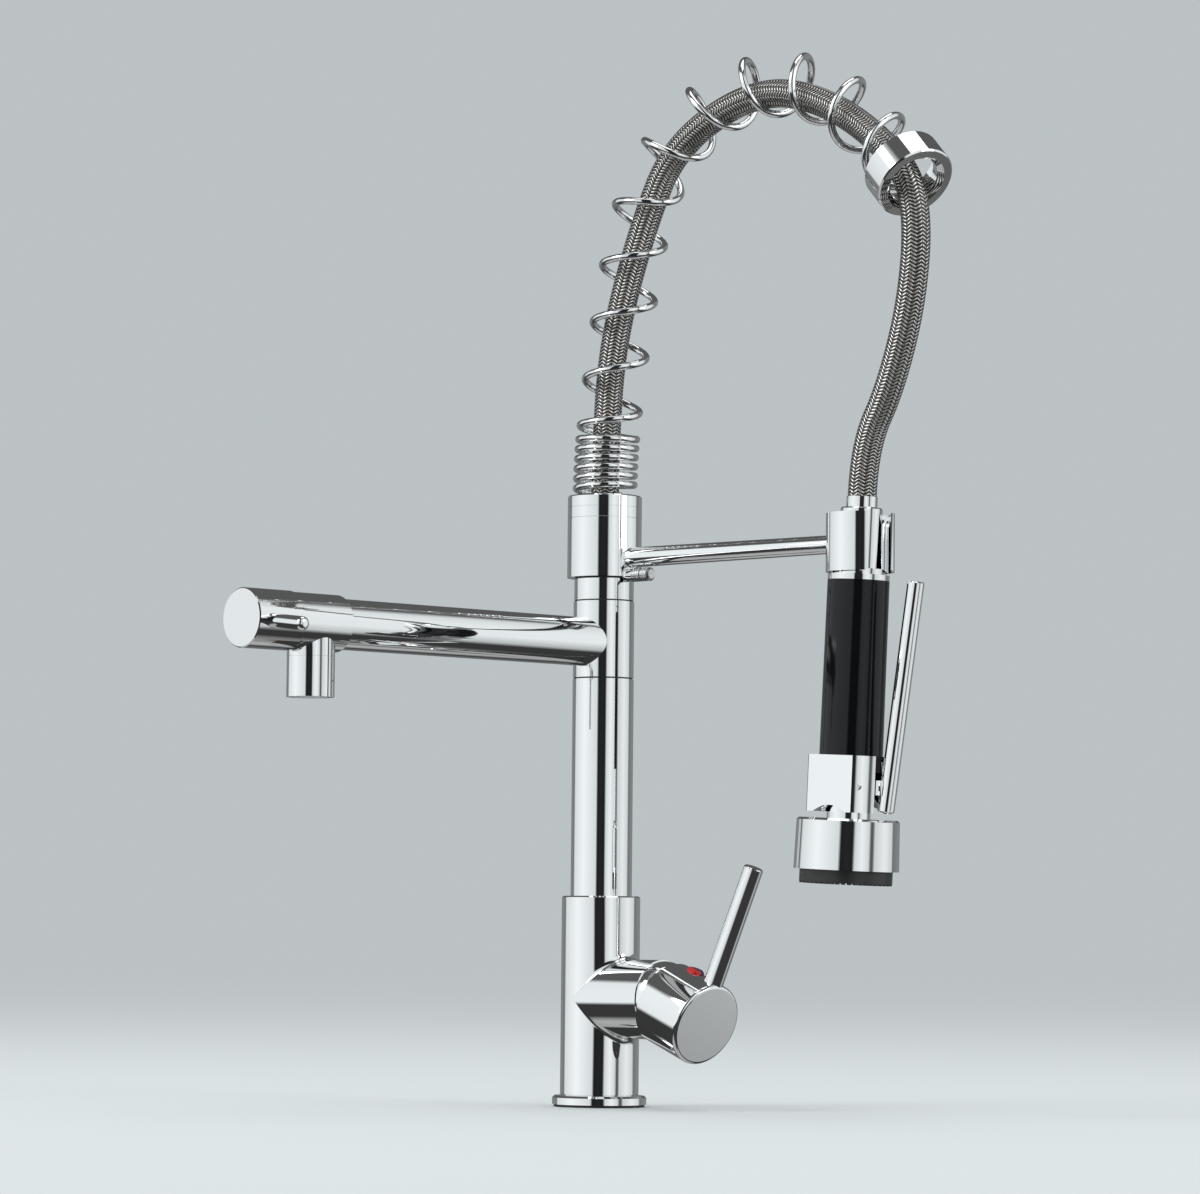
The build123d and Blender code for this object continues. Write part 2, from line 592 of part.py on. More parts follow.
def index_plug():
    plug = Pos(PLUG_PLACE, 0, 0) * disc(PLUG_RADIUS, DOME_BORE, DOME_RADIUS + PLUG_RISE)
    tip = plug.edges().filter_by(GeomType.CIRCLE).sort_by(Axis.Z)[-1]
    return HANDLE_FRAME * chamfer(tip, PLUG_CHAMFER)


def column_connector():
    low = BODY_TOP - CONNECTOR_DEPTH
    outer = COLUMN_BORE - THREAD_FIT
    return disc(outer, low, BODY_TOP + CONNECTOR_DEPTH, outer - CONNECTOR_WALL)


def column_tube():
    return disc(COLUMN_RADIUS, BODY_TOP, COLUMN_TOP, COLUMN_BORE)


def seal_heights():
    """Heights of the ring seals on the spindle, two in the hub and one in the collar."""
    return [HUB_BOTTOM + SEAL_PLACE, HUB_UPPER - SEAL_PLACE, COLLAR_BORE_TOP - SEAL_PLACE]


def spindle():
    """The fixed spindle that carries the hub, the spacer and the collar and feeds the spout."""
    plug_bottom = COLUMN_TOP - SPINDLE_PLUG_DEPTH
    shaft = disc(COLUMN_BORE - THREAD_FIT, plug_bottom, COLUMN_TOP)
    shaft += disc(SPINDLE_RADIUS, COLUMN_TOP, SPINDLE_TOP)
    shaft -= disc(SPINDLE_BORE, plug_bottom, SPINDLE_TOP)
    for height in seal_heights():
        low = height - SEAL_SECTION - RUN_FIT
        high = height + SEAL_SECTION + RUN_FIT
        shaft -= disc(2 * SPINDLE_RADIUS, low, high, SPINDLE_RADIUS - 2 * SEAL_SECTION)
    groove = COLLAR_BORE_TOP + FREE_GAP
    shaft -= disc(2 * SPINDLE_RADIUS, groove, groove + CIRCLIP_THICKNESS, SPINDLE_RADIUS - CIRCLIP_SEAT)
    for angle in (0, 90):
        port = Cylinder(SPINDLE_PORT_RADIUS, 3 * SPINDLE_RADIUS)
        shaft -= Pos(0, 0, SPOUT_HEIGHT) * Rot(90, 0, angle) * port
    return shaft


def ring_seals():
    inner = SPINDLE_RADIUS - 2 * SEAL_SECTION
    half = SEAL_SECTION
    return [disc(SPINDLE_RADIUS, height - half, height + half, inner) for height in seal_heights()]


def glide_rings():
    """Thin slide rings under and over the hub and under the collar."""
    outer = SPACER_RADIUS - FREE_GAP
    inner = SPINDLE_RADIUS + RUN_FIT
    bottoms = [COLUMN_TOP, HUB_UPPER, SPACER_UPPER]
    return [disc(outer, bottom, bottom + GLIDE_HEIGHT, inner) for bottom in bottoms]


def spacer_ring():
    return disc(SPACER_RADIUS, HUB_TOP, SPACER_UPPER, SPINDLE_RADIUS + RUN_FIT)


def spout_hub():
    hub = disc(HUB_RADIUS, HUB_BOTTOM + RUN_FIT, HUB_UPPER - RUN_FIT, SPINDLE_RADIUS + RUN_FIT)
    channel = HUB_CHANNEL_HALF
    hub -= disc(HUB_RADIUS - HUB_WALL, SPOUT_HEIGHT - channel, SPOUT_HEIGHT + channel)
    return hub - bar(SPOUT_RADIUS / 2, 0, 2 * HUB_RADIUS, SPOUT_FRAME)


def spout_tube():
    tube = bar(SPOUT_RADIUS, 0, TEE_START + TEE_SOCKET, SPOUT_FRAME)
    tube -= bar(SPOUT_RADIUS - SPOUT_WALL, 0, TEE_START + TEE_SOCKET, SPOUT_FRAME)
    return tube - disc(HUB_RADIUS, SPOUT_HEIGHT - 2 * SPOUT_RADIUS, SPOUT_HEIGHT + 2 * SPOUT_RADIUS)


def spout_tee():
    """The end body of the spout, with the nozzle branch below and the valve seat."""
    tee = bar(TEE_RADIUS, TEE_START, TEE_END, SPOUT_FRAME)
    tee += NOZZLE_FRAME * disc(NOZZLE_RADIUS, NOZZLE_SEAM, SPOUT_HEIGHT)
    tee += NOZZLE_FRAME * disc(NOZZLE_THREAD_RADIUS, NOZZLE_THREAD_END, NOZZLE_SEAM)
    tee -= bar(SPOUT_RADIUS + RUN_FIT, TEE_START, TEE_START + TEE_SOCKET, SPOUT_FRAME)
    tee -= bar(SPOUT_RADIUS - SPOUT_WALL, TEE_START, NOZZLE_REACH, SPOUT_FRAME)
    tee -= bar(VALVE_RADIUS + THREAD_FIT, TEE_END - VALVE_LENGTH, TEE_END, SPOUT_FRAME)
    water_way = NOZZLE_THREAD_RADIUS - NOZZLE_WATER_WALL
    return tee - NOZZLE_FRAME * disc(water_way, NOZZLE_THREAD_END, SPOUT_HEIGHT)


def aerator_housing():
    shell = disc(NOZZLE_RADIUS, NOZZLE_BOTTOM, NOZZLE_SEAM)
    shell = chamfer(shell.edges().filter_by(GeomType.CIRCLE).sort_by(Axis.Z)[-1], SEAM_CHAMFER)
    shell -= disc(NOZZLE_THREAD_RADIUS - NOZZLE_LIP_REACH, NOZZLE_BOTTOM, NOZZLE_SEAM)
    shell -= disc(NOZZLE_THREAD_RADIUS + THREAD_FIT, NOZZLE_BOTTOM + NOZZLE_LIP, NOZZLE_SEAM)
    return NOZZLE_FRAME * shell


def aerator_insert():
    """The stream straightener, with a honeycomb of holes."""
    bottom = NOZZLE_BOTTOM + NOZZLE_LIP
    insert = disc(NOZZLE_THREAD_RADIUS - RUN_FIT, bottom, NOZZLE_THREAD_END - FREE_GAP)
    depth = NOZZLE_THREAD_END - bottom
    insert -= disc(AERATOR_CENTRE_RADIUS, bottom, bottom + depth)
    hole = extrude(RegularPolygon(AERATOR_HOLE_RADIUS, 6), depth)
    for row in range(AERATOR_ROW_COUNT):
        place = Pos(AERATOR_FIRST_ROW + row * AERATOR_ROW_PITCH, 0, bottom)
        count = (row + 1) * AERATOR_FIRST_COUNT
        for index in range(count):
            insert -= Rot(0, 0, 360 * index / count) * place * hole
    return NOZZLE_FRAME * insert


def shutoff_valve():
    start = TEE_END - VALVE_LENGTH
    valve = bar(VALVE_RADIUS, start, TEE_END - RUN_FIT, SPOUT_FRAME)
    return valve - bar(VALVE_STEM_RADIUS + RUN_FIT, start + VALVE_FLOOR, TEE_END, SPOUT_FRAME)


def shutoff_stem():
    start = TEE_END - VALVE_LENGTH + VALVE_FLOOR + RUN_FIT
    return bar(VALVE_STEM_RADIUS, start, STEM_STOP, SPOUT_FRAME)


def shutoff_knob():
    knob = bar(KNOB_RADIUS, TEE_END + RUN_FIT, KNOB_END)
    seam, face = knob.edges().filter_by(GeomType.CIRCLE).sort_by(Axis.X)
    knob = chamfer(face, SMALL_CHAMFER)
    knob = chamfer(knob.edges().filter_by(GeomType.CIRCLE).sort_by(Axis.X)[0], SEAM_CHAMFER)
    knob -= bar(VALVE_STEM_RADIUS, TEE_END, STEM_STOP)
    knob -= peg_solid(PEG_RADIUS)
    return SPOUT_FRAME * knob


def peg_solid(radius):
    """The peg of the knob, square to the spout and a little below level."""
    place = Pos(KNOB_END - PEG_SET_BACK, 0, 0) * Rot(-90 - PEG_DROP, 0, 0)
    peg = disc(radius, KNOB_RADIUS / 2, KNOB_RADIUS + PEG_LENGTH)
    tip = peg.edges().filter_by(GeomType.CIRCLE).sort_by(Axis.Z)[-1]
    return place * fillet(tip, 0.7 * radius)


def knob_peg():
    return SPOUT_FRAME * peg_solid(PEG_RADIUS)


def tang_place(depth):
    """The upright hole or seat for the wire tang in the collar rings."""
    start = spring_point(0.0)
    turn = spring_tangent(0.0)
    flat = Vector(turn.X, turn.Y, 0).normalized()
    foot = start - flat * TANG_BEND
    return Pos(foot.X, foot.Y, MIDDLE_RING_TOP) * Cylinder(TANG_HOLE_RADIUS, depth, align=UP)


def collar_sleeve():
    sleeve = disc(COLLAR_RADIUS, SPACER_TOP + RUN_FIT, COLLAR_SLEEVE_TOP, SPINDLE_RADIUS + RUN_FIT)
    sleeve -= disc(COLLAR_COUNTERBORE, COLLAR_BORE_TOP, COLLAR_SLEEVE_TOP)
    arm_hole = Pos(0, 0, ARM_HEIGHT)
    sleeve -= bar(ARM_SPIGOT_RADIUS, COLLAR_RADIUS - ARM_SPIGOT_DEPTH, 2 * COLLAR_RADIUS, arm_hole)
    lug = clamp_bar(CLAMP_RADIUS, CLAMP_LUG_START, CLAMP_LUG_END)
    lug -= disc(COLLAR_RADIUS - CLAMP_LUG_SINK, SPACER_TOP + RUN_FIT, COLLAR_SLEEVE_TOP)
    sleeve += lug
    shank_start = CLAMP_LUG_START + CLAMP_LUG_SINK
    return ARM_FRAME * (sleeve - clamp_bar(CLAMP_SHANK_RADIUS + THREAD_FIT, shank_start, CLAMP_LUG_END))


def collar_middle_ring():
    ring = disc(COLLAR_RADIUS, COLLAR_SLEEVE_TOP, MIDDLE_RING_TOP)
    ring = chamfer(ring.edges().filter_by(GeomType.CIRCLE), SEAM_CHAMFER)
    return ARM_FRAME * (ring - disc(LOWER_FERRULE_RADIUS + FREE_GAP, COLLAR_SLEEVE_TOP, MIDDLE_RING_TOP))


def collar_top_ring():
    ring = disc(COLLAR_RADIUS, MIDDLE_RING_TOP, TOP_RING_TOP, HOSE_RADIUS + HOSE_ROOM)
    rim = ring.edges().filter_by(GeomType.CIRCLE).group_by(Axis.Z)[-1].sort_by(SortBy.RADIUS)[-1]
    ring = chamfer(rim, EDGE_CHAMFER)
    return ARM_FRAME * (ring - tang_place(TOP_RING_TOP - MIDDLE_RING_TOP))


def collar_circlip():
    bottom = COLLAR_BORE_TOP + FREE_GAP + RUN_FIT
    top = bottom + CIRCLIP_THICKNESS - 2 * RUN_FIT
    ring = disc(SPINDLE_RADIUS + CIRCLIP_REACH, bottom, top, SPINDLE_RADIUS - CIRCLIP_SEAT + RUN_FIT)
    return ring - Pos(-SPINDLE_RADIUS, 0, bottom) * Box(SPINDLE_RADIUS, CIRCLIP_OPENING, 2 * (top - bottom))


def lower_ferrule():
    """The hose end in the collar, held under the middle ring by its flange."""
    bottom = SPINDLE_TOP + FREE_GAP
    piece = disc(LOWER_FERRULE_RADIUS, bottom, MIDDLE_RING_TOP)
    piece += disc(LOWER_FERRULE_FLANGE, COLLAR_SLEEVE_TOP - FERRULE_FLANGE_HEIGHT, COLLAR_SLEEVE_TOP)
    return ARM_FRAME * (piece - disc(HEAD_BORE, bottom, MIDDLE_RING_TOP))


def arm_rod():
    """The tapered arm, saddled on the collar and on the clip, with a small flare at its root."""
    end = CLIP_REACH
    profile = [(0, 0), (ARM_ROOT_RADIUS + ARM_FLARE, 0), (ARM_ROOT_RADIUS + ARM_FLARE, COLLAR_RADIUS)]
    profile += [(ARM_ROOT_RADIUS, COLLAR_RADIUS + ARM_FLARE_LENGTH), (ARM_TIP_RADIUS, end), (0, end)]
    rod = Pos(0, 0, ARM_HEIGHT) * ALONG_X * turned(profile)
    rod -= disc(COLLAR_RADIUS, SPACER_TOP, COLLAR_SLEEVE_TOP)
    rod -= Pos(CLIP_REACH, 0, 0) * disc(CLIP_RADIUS, CLIP_BOTTOM, CLIP_TOP)
    spigot_start = COLLAR_RADIUS - ARM_SPIGOT_DEPTH
    rod += bar(ARM_SPIGOT_RADIUS, spigot_start, COLLAR_RADIUS + ARM_FLARE_LENGTH, Pos(0, 0, ARM_HEIGHT))
    return ARM_FRAME * rod


def hose_clip():
    """The open clip round the neck of the spray head."""
    clip = disc(CLIP_RADIUS, CLIP_BOTTOM, CLIP_TOP, CLIP_BORE)
    middle = (CLIP_BOTTOM + CLIP_TOP) / 2
    slot = Pos(CLIP_RADIUS, 0, middle) * Box(2 * CLIP_RADIUS, CLIP_SLOT, CLIP_TOP)
    clip -= Rot(0, 0, CLIP_SLOT_TURN) * slot
    return CLIP_FRAME * clip


def clamp_bar(radius, start, end):
    """A round bar along the axis of the clamp screw, which points outward under the arm."""
    return bar(radius, start, end, Rot(0, 0, CLAMP_TURN) * Pos(0, 0, CLAMP_HEIGHT))


def clamp_screw():
    """The screw of the collar's lug, with a grooved head that is bevelled at its end."""
    head = bar(CLAMP_RADIUS, CLAMP_LUG_END, CLAMP_SCREW_END)
    rim = head.edges().filter_by(GeomType.CIRCLE).sort_by(Axis.X)[-1]
    head = chamfer(rim, CLAMP_CHAMFER)
    middle = (CLAMP_LUG_END + CLAMP_SCREW_END) / 2
    groove_start = middle - CLAMP_GROOVE_HALF
    groove_end = middle + CLAMP_GROOVE_HALF
    groove = bar(2 * CLAMP_RADIUS, groove_start, groove_end)
    head -= groove - bar(CLAMP_RADIUS - CLAMP_GROOVE_DEPTH, groove_start, groove_end)
    screw = Rot(0, 0, CLAMP_TURN) * Pos(0, 0, CLAMP_HEIGHT) * head
    shank_start = CLAMP_LUG_START + CLAMP_LUG_SINK
    return ARM_FRAME * (screw + clamp_bar(CLAMP_SHANK_RADIUS, shank_start, CLAMP_LUG_END))


SPRING_AXIS = list(zip(SPRING_ARC_LENGTHS, SPRING_ARC_DEGREES))
AXIS_LENGTH = sum(SPRING_ARC_LENGTHS)


def chain_point(distance):
    """A point and heading of the spring's axis in the arm plane, heading measured from upright."""
    reach, height, heading, left = 0.0, TOP_RING_TOP, 0.0, distance
    for length, degrees in SPRING_AXIS:
        part = min(left, length) if (length, degrees) != SPRING_AXIS[-1] else left
        radius = length / math.radians(degrees)
        after = heading + part / radius
        reach += radius * (math.cos(heading) - math.cos(after))
        height += radius * (math.sin(after) - math.sin(heading))
        heading = after
        left -= part
        if left <= 0:
            break
    return reach, height, heading


def axis_frame(distance):
    """Point, direction, outward normal and side vector of the spring's axis."""
    reach, height, heading = chain_point(distance)
    past = max(0.0, distance - SIDE_DRIFT_START) / (AXIS_LENGTH - SIDE_DRIFT_START)
    lean = 2 * SIDE_DRIFT * past / (AXIS_LENGTH - SIDE_DRIFT_START)
    point = Vector(reach, -SIDE_DRIFT * past ** 2, height)
    direction = Vector(math.sin(heading), -lean, math.cos(heading)).normalized()
    normal = Vector(math.cos(heading), 0, -math.sin(heading))
    return point, direction, normal, direction.cross(normal)


def pitch_gain(past, growth):
    """Extra advance some turns after the pitch starts to grow, with a smooth change."""
    if past <= 0:
        return 0.0
    if past <= BLEND_TURNS:
        return growth * past ** 2 / (2 * BLEND_TURNS)
    return growth * (past - BLEND_TURNS / 2)


def coil_advance(turns):
    """Axial advance after some turns: tight stack, open coils, then wider ones over the arch."""
    tight = WIRE_RADIUS + 2 * FREE_GAP + STACK_PITCH * turns
    opened = pitch_gain(turns - STACK_TURNS, OPEN_PITCH - STACK_PITCH)
    return tight + opened + pitch_gain(turns - ARCH_TURNS, ARCH_PITCH - OPEN_PITCH)


def spring_point(turns):
    point, direction, normal, side = axis_frame(coil_advance(turns))
    angle = math.radians(COIL_START_ANGLE + 360 * turns)
    return point + normal * (COIL_RADIUS * math.cos(angle)) + side * (COIL_RADIUS * math.sin(angle))


def spring_tangent(turns):
    step = 0.001
    return (spring_point(turns + step) - spring_point(turns - step)).normalized()


def biarc(start, start_turn, end, end_turn):
    """Two tangent arcs from one point and direction to another."""
    chord = end - start
    both = start_turn + end_turn
    slope = chord.dot(both)
    spread = 2 * (1 - start_turn.dot(end_turn))
    reach = (math.sqrt(slope ** 2 + spread * chord.dot(chord)) - slope) / spread
    first = start + start_turn * reach
    second = end - end_turn * reach
    joint = (first + second) * 0.5
    middle = (second - first).normalized()
    return [Edge.make_tangent_arc(start, start_turn, joint), Edge.make_tangent_arc(joint, middle, end)]


def spring_turns():
    """Number of quarter turns that bring the coil to its tang in the end ring."""
    target = AXIS_LENGTH - TANG_STRAIGHT - TANG_BEND
    quarters = 0
    while coil_advance((quarters + 1) / 4) < target:
        quarters += 1
    return quarters


def spring_stations():
    """Points and directions of the wire: lower tang, coil by quarter turns, upper tang."""
    first_turn = spring_tangent(0.0)
    flat = Vector(first_turn.X, first_turn.Y, 0).normalized()
    upright = Vector(0, 0, 1)
    foot = spring_point(0.0) - flat * TANG_BEND
    stations = [(Vector(foot.X, foot.Y, spring_point(0.0).Z - TANG_BEND), upright)]
    quarters = spring_turns()
    for quarter in range(quarters + 1):
        stations.append((spring_point(quarter / 4), spring_tangent(quarter / 4)))
    point, direction, normal, side = axis_frame(AXIS_LENGTH)
    last, last_turn = stations[-1]
    ahead = (last_turn - direction * last_turn.dot(direction)).normalized()
    end = last + ahead * TANG_BEND
    lift = (point - end).dot(direction) - TANG_STRAIGHT
    stations.append((end + direction * lift, direction))
    return stations


def spring_path():
    stations = spring_stations()
    foot = stations[0][0]
    edges = [Edge.make_line(Vector(foot.X, foot.Y, MIDDLE_RING_TOP), foot)]
    for (start, start_turn), (end, end_turn) in zip(stations, stations[1:]):
        edges += biarc(start, start_turn, end, end_turn)
    tip, direction = stations[-1]
    edges.append(Edge.make_line(tip, tip + direction * TANG_STRAIGHT))
    return Wire(edges)


def print_spring_gap():
    """Least gap of the wire to itself, measured on points a twenty-fourth of a turn apart."""
    steps = 24
    count = spring_turns() * steps // 4
    points = [spring_point(index / steps) for index in range(count + 1)]
    least = min(
        (points[i] - points[j]).length
        for i in range(count + 1)
        for j in range(i + steps // 2, min(i + 2 * steps, count + 1))
    )
    print("spring turns", round(count / steps, 2), "least gap", round(least - 2 * WIRE_RADIUS, 2))


def spring():
    path = spring_path()
    section = Plane(path @ 0, z_dir=path % 0) * RegularPolygon(WIRE_RADIUS, 6)
    return ARM_FRAME * sweep(section, path, clean=False)


def end_ring_frame():
    point, direction, normal, side = axis_frame(AXIS_LENGTH)
    return Plane(point, x_dir=normal, z_dir=direction)


def spring_end_ring():
    """The end ring: a cup round the last coil with a lip that the hose runs out of."""
    back = END_RING_LIP - END_RING_LENGTH
    ring = disc(END_RING_RADIUS, back, END_RING_LIP)
    ring = chamfer(ring.edges().filter_by(GeomType.CIRCLE), EDGE_CHAMFER)
    ring -= disc(END_RING_HOLE, back, END_RING_LIP)
    mouth = ring.edges().filter_by(GeomType.CIRCLE).sort_by(SortBy.RADIUS)[:2].sort_by(Axis.Z)[-1]
    ring = chamfer(mouth, END_RING_MOUTH_CHAMFER)
    ring -= disc(END_RING_BORE, back, 0)
    return ARM_FRAME * end_ring_frame().location * ring


def hose_points():
    top = HEAD_FRAME * Pos(0, 0, FERRULE_TOP)
    last = HEAD_FRAME * Pos(0, 0, FERRULE_TOP + HOSE_LAST_RUN)
    points = [Vector(0, 0, MIDDLE_RING_TOP)]
    points += [Vector(*corner) for corner in HOSE_ROUTE]
    points = [(ARM_FRAME * Pos(point)).position for point in points]
    return points + [last.position, top.position]


def hose_radii(points):
    radii = []
    for before, corner, after in zip(points, points[1:], points[2:]):
        first = corner - before
        second = after - corner
        half_turn = math.radians(first.get_angle(second)) / 2
        radii.append(HOSE_ROUND_SHARE * min(first.length, second.length) / math.tan(half_turn))
    return radii


def hose():
    points = hose_points()
    radii = hose_radii(points)
    path = FilletPolyline(*points, radius=radii)
    section = Plane(path @ 0, z_dir=path % 0) * Circle(HOSE_RADIUS)
    tube = sweep(section, path)
    print("hose radii", [round(radius, 1) for radius in radii])
    print("hose length", round(path.length, 1), "volume ratio", round(tube.volume / (section.area * path.length), 4))
    return tube


def head_ferrule():
    return HEAD_FRAME * disc(FERRULE_RADIUS, NECK_TOP, FERRULE_TOP, HEAD_BORE)


def head_neck():
    profile = [(HEAD_BORE, BAND_TOP), (NECK_SHOULDER_RADIUS, BAND_TOP)]
    profile += [(NECK_SHOULDER_RADIUS, NECK_SHOULDER_TOP), (NECK_RADIUS, NECK_SHOULDER_TOP)]
    profile += [(NECK_RADIUS, NECK_TOP - EDGE_CHAMFER), (NECK_RADIUS - EDGE_CHAMFER, NECK_TOP), (HEAD_BORE, NECK_TOP)]
    return HEAD_FRAME * turned(profile)


def neck_band():
    return HEAD_FRAME * disc(BAND_RADIUS, GRIP_TOP, BAND_TOP, HEAD_BORE)


def grip_core():
    """The water tube inside the grip, with a flange at each end."""
    core = disc(CORE_RADIUS, BLOCK_TOP, GRIP_TOP)
    flange = GRIP_TOP_RADIUS - GRIP_WALL - THREAD_FIT
    core += disc(flange, GRIP_TOP - CORE_FLANGE, GRIP_TOP)
    core += disc(flange, BLOCK_TOP, BLOCK_TOP + CORE_FLANGE)
    return HEAD_FRAME * (core - disc(HEAD_BORE, BLOCK_TOP, GRIP_TOP))


def grip_sleeve():
    inner = GRIP_TOP_RADIUS - GRIP_WALL
    profile = [(inner, BLOCK_TOP), (GRIP_BOTTOM_RADIUS, BLOCK_TOP)]
    profile += [(GRIP_TOP_RADIUS, GRIP_TOP), (inner, GRIP_TOP)]
    return HEAD_FRAME * turned(profile)


def head_block():
    """The chrome block: flats at both sides, arched mouth below, and the slot of the lever."""
    height = BLOCK_TOP - BLOCK_BOTTOM
    middle = (BLOCK_TOP + BLOCK_BOTTOM) / 2
    block = disc(BLOCK_RADIUS, BLOCK_BOTTOM, BLOCK_TOP)
    block &= Pos(0, 0, middle) * Box(3 * BLOCK_RADIUS, 2 * BLOCK_FLAT, height)
    mouth = [(0, BLOCK_BOTTOM), (COUNTERBORE_RADIUS, BLOCK_BOTTOM)]
    mouth_top = BLOCK_BOTTOM + COUNTERBORE_DEPTH
    boss_radius = SHROUD_HUB_RADIUS + BLOCK_BOSS_WALL
    mouth += [(boss_radius + COUNTERBORE_TOP_STEP, mouth_top), (0, mouth_top)]
    block -= turned(mouth) - disc(boss_radius, BLOCK_BOTTOM, mouth_top)
    block -= disc(SHROUD_HUB_RADIUS + THREAD_FIT, BLOCK_BOTTOM, SHROUD_HUB_TOP)
    block -= Pos(BLOCK_SLOT_DEPTH + BLOCK_RADIUS, 0, middle) * Box(2 * BLOCK_RADIUS, BLOCK_SLOT, height)
    pocket_middle = (POCKET_TOP + POCKET_BOTTOM) / 2
    pocket = Box(2 * BLOCK_RADIUS, BLOCK_SLOT, POCKET_TOP - POCKET_BOTTOM)
    block -= Pos(POCKET_BACK + BLOCK_RADIUS, 0, pocket_middle) * pocket
    block -= disc(HEAD_BORE, POCKET_TOP, BLOCK_TOP)
    block -= Pos(PLUNGER_REACH, 0, 0) * disc(PLUNGER_RADIUS + PLUNGER_WAY_ROOM, SHROUD_HUB_TOP, POCKET_BOTTOM)
    return HEAD_FRAME * (block - lever_pin_solid())


def lever_pin_solid():
    half = min(BLOCK_FLAT, math.sqrt(BLOCK_RADIUS ** 2 - LEVER_PIN_REACH ** 2)) - 2 * FREE_GAP
    place = Pos(LEVER_PIN_REACH, 0, LEVER_PIN_LEVEL) * Rot(90, 0, 0)
    return place * Cylinder(LEVER_PIN_RADIUS, 2 * half)


def lever_pin():
    return HEAD_FRAME * lever_pin_solid()


def trigger_lever():
    """The long lever: a round rod and the tongue that turns on the pin."""
    bottom = Vector(LEVER_BOTTOM_REACH, 0, LEVER_BOTTOM)
    top = Vector(LEVER_TOP_REACH, 0, LEVER_TOP)
    length = (top - bottom).length
    rod = disc(LEVER_RADIUS, 0, length)
    rod = chamfer(rod.edges().filter_by(GeomType.CIRCLE), SMALL_CHAMFER)
    rod = Plane(bottom, z_dir=top - bottom).location * rod
    reach = LEVER_BOTTOM_REACH
    tongue = Box(reach - TONGUE_INNER_REACH, 2 * TONGUE_HALF_WIDTH, 2 * TONGUE_HALF_HEIGHT)
    middle = (reach + TONGUE_INNER_REACH) / 2
    tongue = Pos(middle, 0, LEVER_PIN_LEVEL) * tongue
    hole_place = Pos(LEVER_PIN_REACH, 0, LEVER_PIN_LEVEL) * Rot(90, 0, 0)
    hole = hole_place * Cylinder(LEVER_PIN_RADIUS + RUN_FIT, 4 * TONGUE_HALF_WIDTH)
    return HEAD_FRAME * (rod + tongue - hole)


def valve_plunger():
    top = LEVER_PIN_LEVEL - TONGUE_HALF_HEIGHT - RUN_FIT
    rod = disc(PLUNGER_RADIUS, PLUNGER_BOTTOM, top)
    rod += disc(PLUNGER_HEAD_RADIUS, top - PLUNGER_HEAD_HEIGHT, top)
    return HEAD_FRAME * Pos(PLUNGER_REACH, 0, 0) * rod


def spray_shroud():
    """The wide chrome ring, with its roof and threaded hub."""
    profile = [(0, SHROUD_HUB_TOP), (SHROUD_HUB_RADIUS, SHROUD_HUB_TOP), (SHROUD_HUB_RADIUS, SHROUD_TOP)]
    profile += [(SHROUD_TOP_RADIUS - SHROUD_CHAMFER, SHROUD_TOP), (SHROUD_TOP_RADIUS, SHROUD_TOP - SHROUD_CHAMFER)]
    profile += [(SHROUD_BOTTOM_RADIUS, SHROUD_BOTTOM), (SHROUD_BORE, SHROUD_BOTTOM)]
    profile += [(SHROUD_BORE, SHROUD_TOP - SHROUD_ROOF), (0, SHROUD_TOP - SHROUD_ROOF)]
    shroud = turned(profile)
    way = Pos(PLUNGER_REACH, 0, 0) * disc(PLUNGER_RADIUS + RUN_FIT, SHROUD_TOP - SHROUD_ROOF, SHROUD_HUB_TOP)
    return HEAD_FRAME * (shroud - way)


def spray_chamber():
    roof = SHROUD_TOP - SHROUD_ROOF
    outer = SHROUD_BORE - THREAD_FIT
    chamber = disc(outer, CHAMBER_BOTTOM, roof)
    chamber -= disc(outer - CHAMBER_WALL, CHAMBER_BOTTOM + CHAMBER_WALL, roof)
    hole = Pos(CHAMBER_HOLE_REACH, 0, CHAMBER_BOTTOM) * extrude(RegularPolygon(CHAMBER_HOLE_RADIUS, 6), CHAMBER_WALL)
    for index in range(CHAMBER_HOLE_COUNT):
        chamber -= Rot(0, 0, 360 * index / CHAMBER_HOLE_COUNT) * hole
    return HEAD_FRAME * chamber


def nozzle_ring():
    """The black outlet ring with its serrated bottom edge."""
    ring = disc(NOZZLE_RING_RADIUS, NOZZLE_RING_BOTTOM + TOOTH_DEPTH, CHAMBER_BOTTOM, NOZZLE_RING_LEDGE_HOLE)
    ring -= disc(NOZZLE_RING_HOLE, NOZZLE_RING_BOTTOM, NOZZLE_RING_LEDGE)
    pitch = 2 * math.pi * NOZZLE_RING_RADIUS / TOOTH_COUNT
    tooth = Box(NOZZLE_RING_WALL - FREE_GAP, TOOTH_SHARE * pitch, TOOTH_DEPTH, align=UP)
    reach = (NOZZLE_RING_RADIUS + NOZZLE_RING_HOLE) / 2
    teeth = [
        Rot(0, 0, 360 * index / TOOTH_COUNT) * Pos(reach, 0, NOZZLE_RING_BOTTOM) * tooth
        for index in range(TOOTH_COUNT)
    ]
    return HEAD_FRAME * ring.fuse(*teeth)


def spray_plate():
    """The rubber face with rows of nubs."""
    top = NOZZLE_RING_LEDGE
    plate = disc(NOZZLE_RING_HOLE - RUN_FIT, top - PLATE_THICKNESS, top)
    nub = Pos(0, 0, top - PLATE_THICKNESS - NUB_HEIGHT) * extrude(RegularPolygon(NUB_RADIUS, 6), NUB_HEIGHT)
    nubs = []
    for row in range(NUB_ROW_COUNT):
        place = Pos(NUB_FIRST_ROW + row * NUB_ROW_PITCH, 0, 0)
        count = (row + 1) * NUB_FIRST_COUNT
        nubs += [Rot(0, 0, 360 * index / count) * place * nub for index in range(count)]
    return HEAD_FRAME * plate.fuse(*nubs)


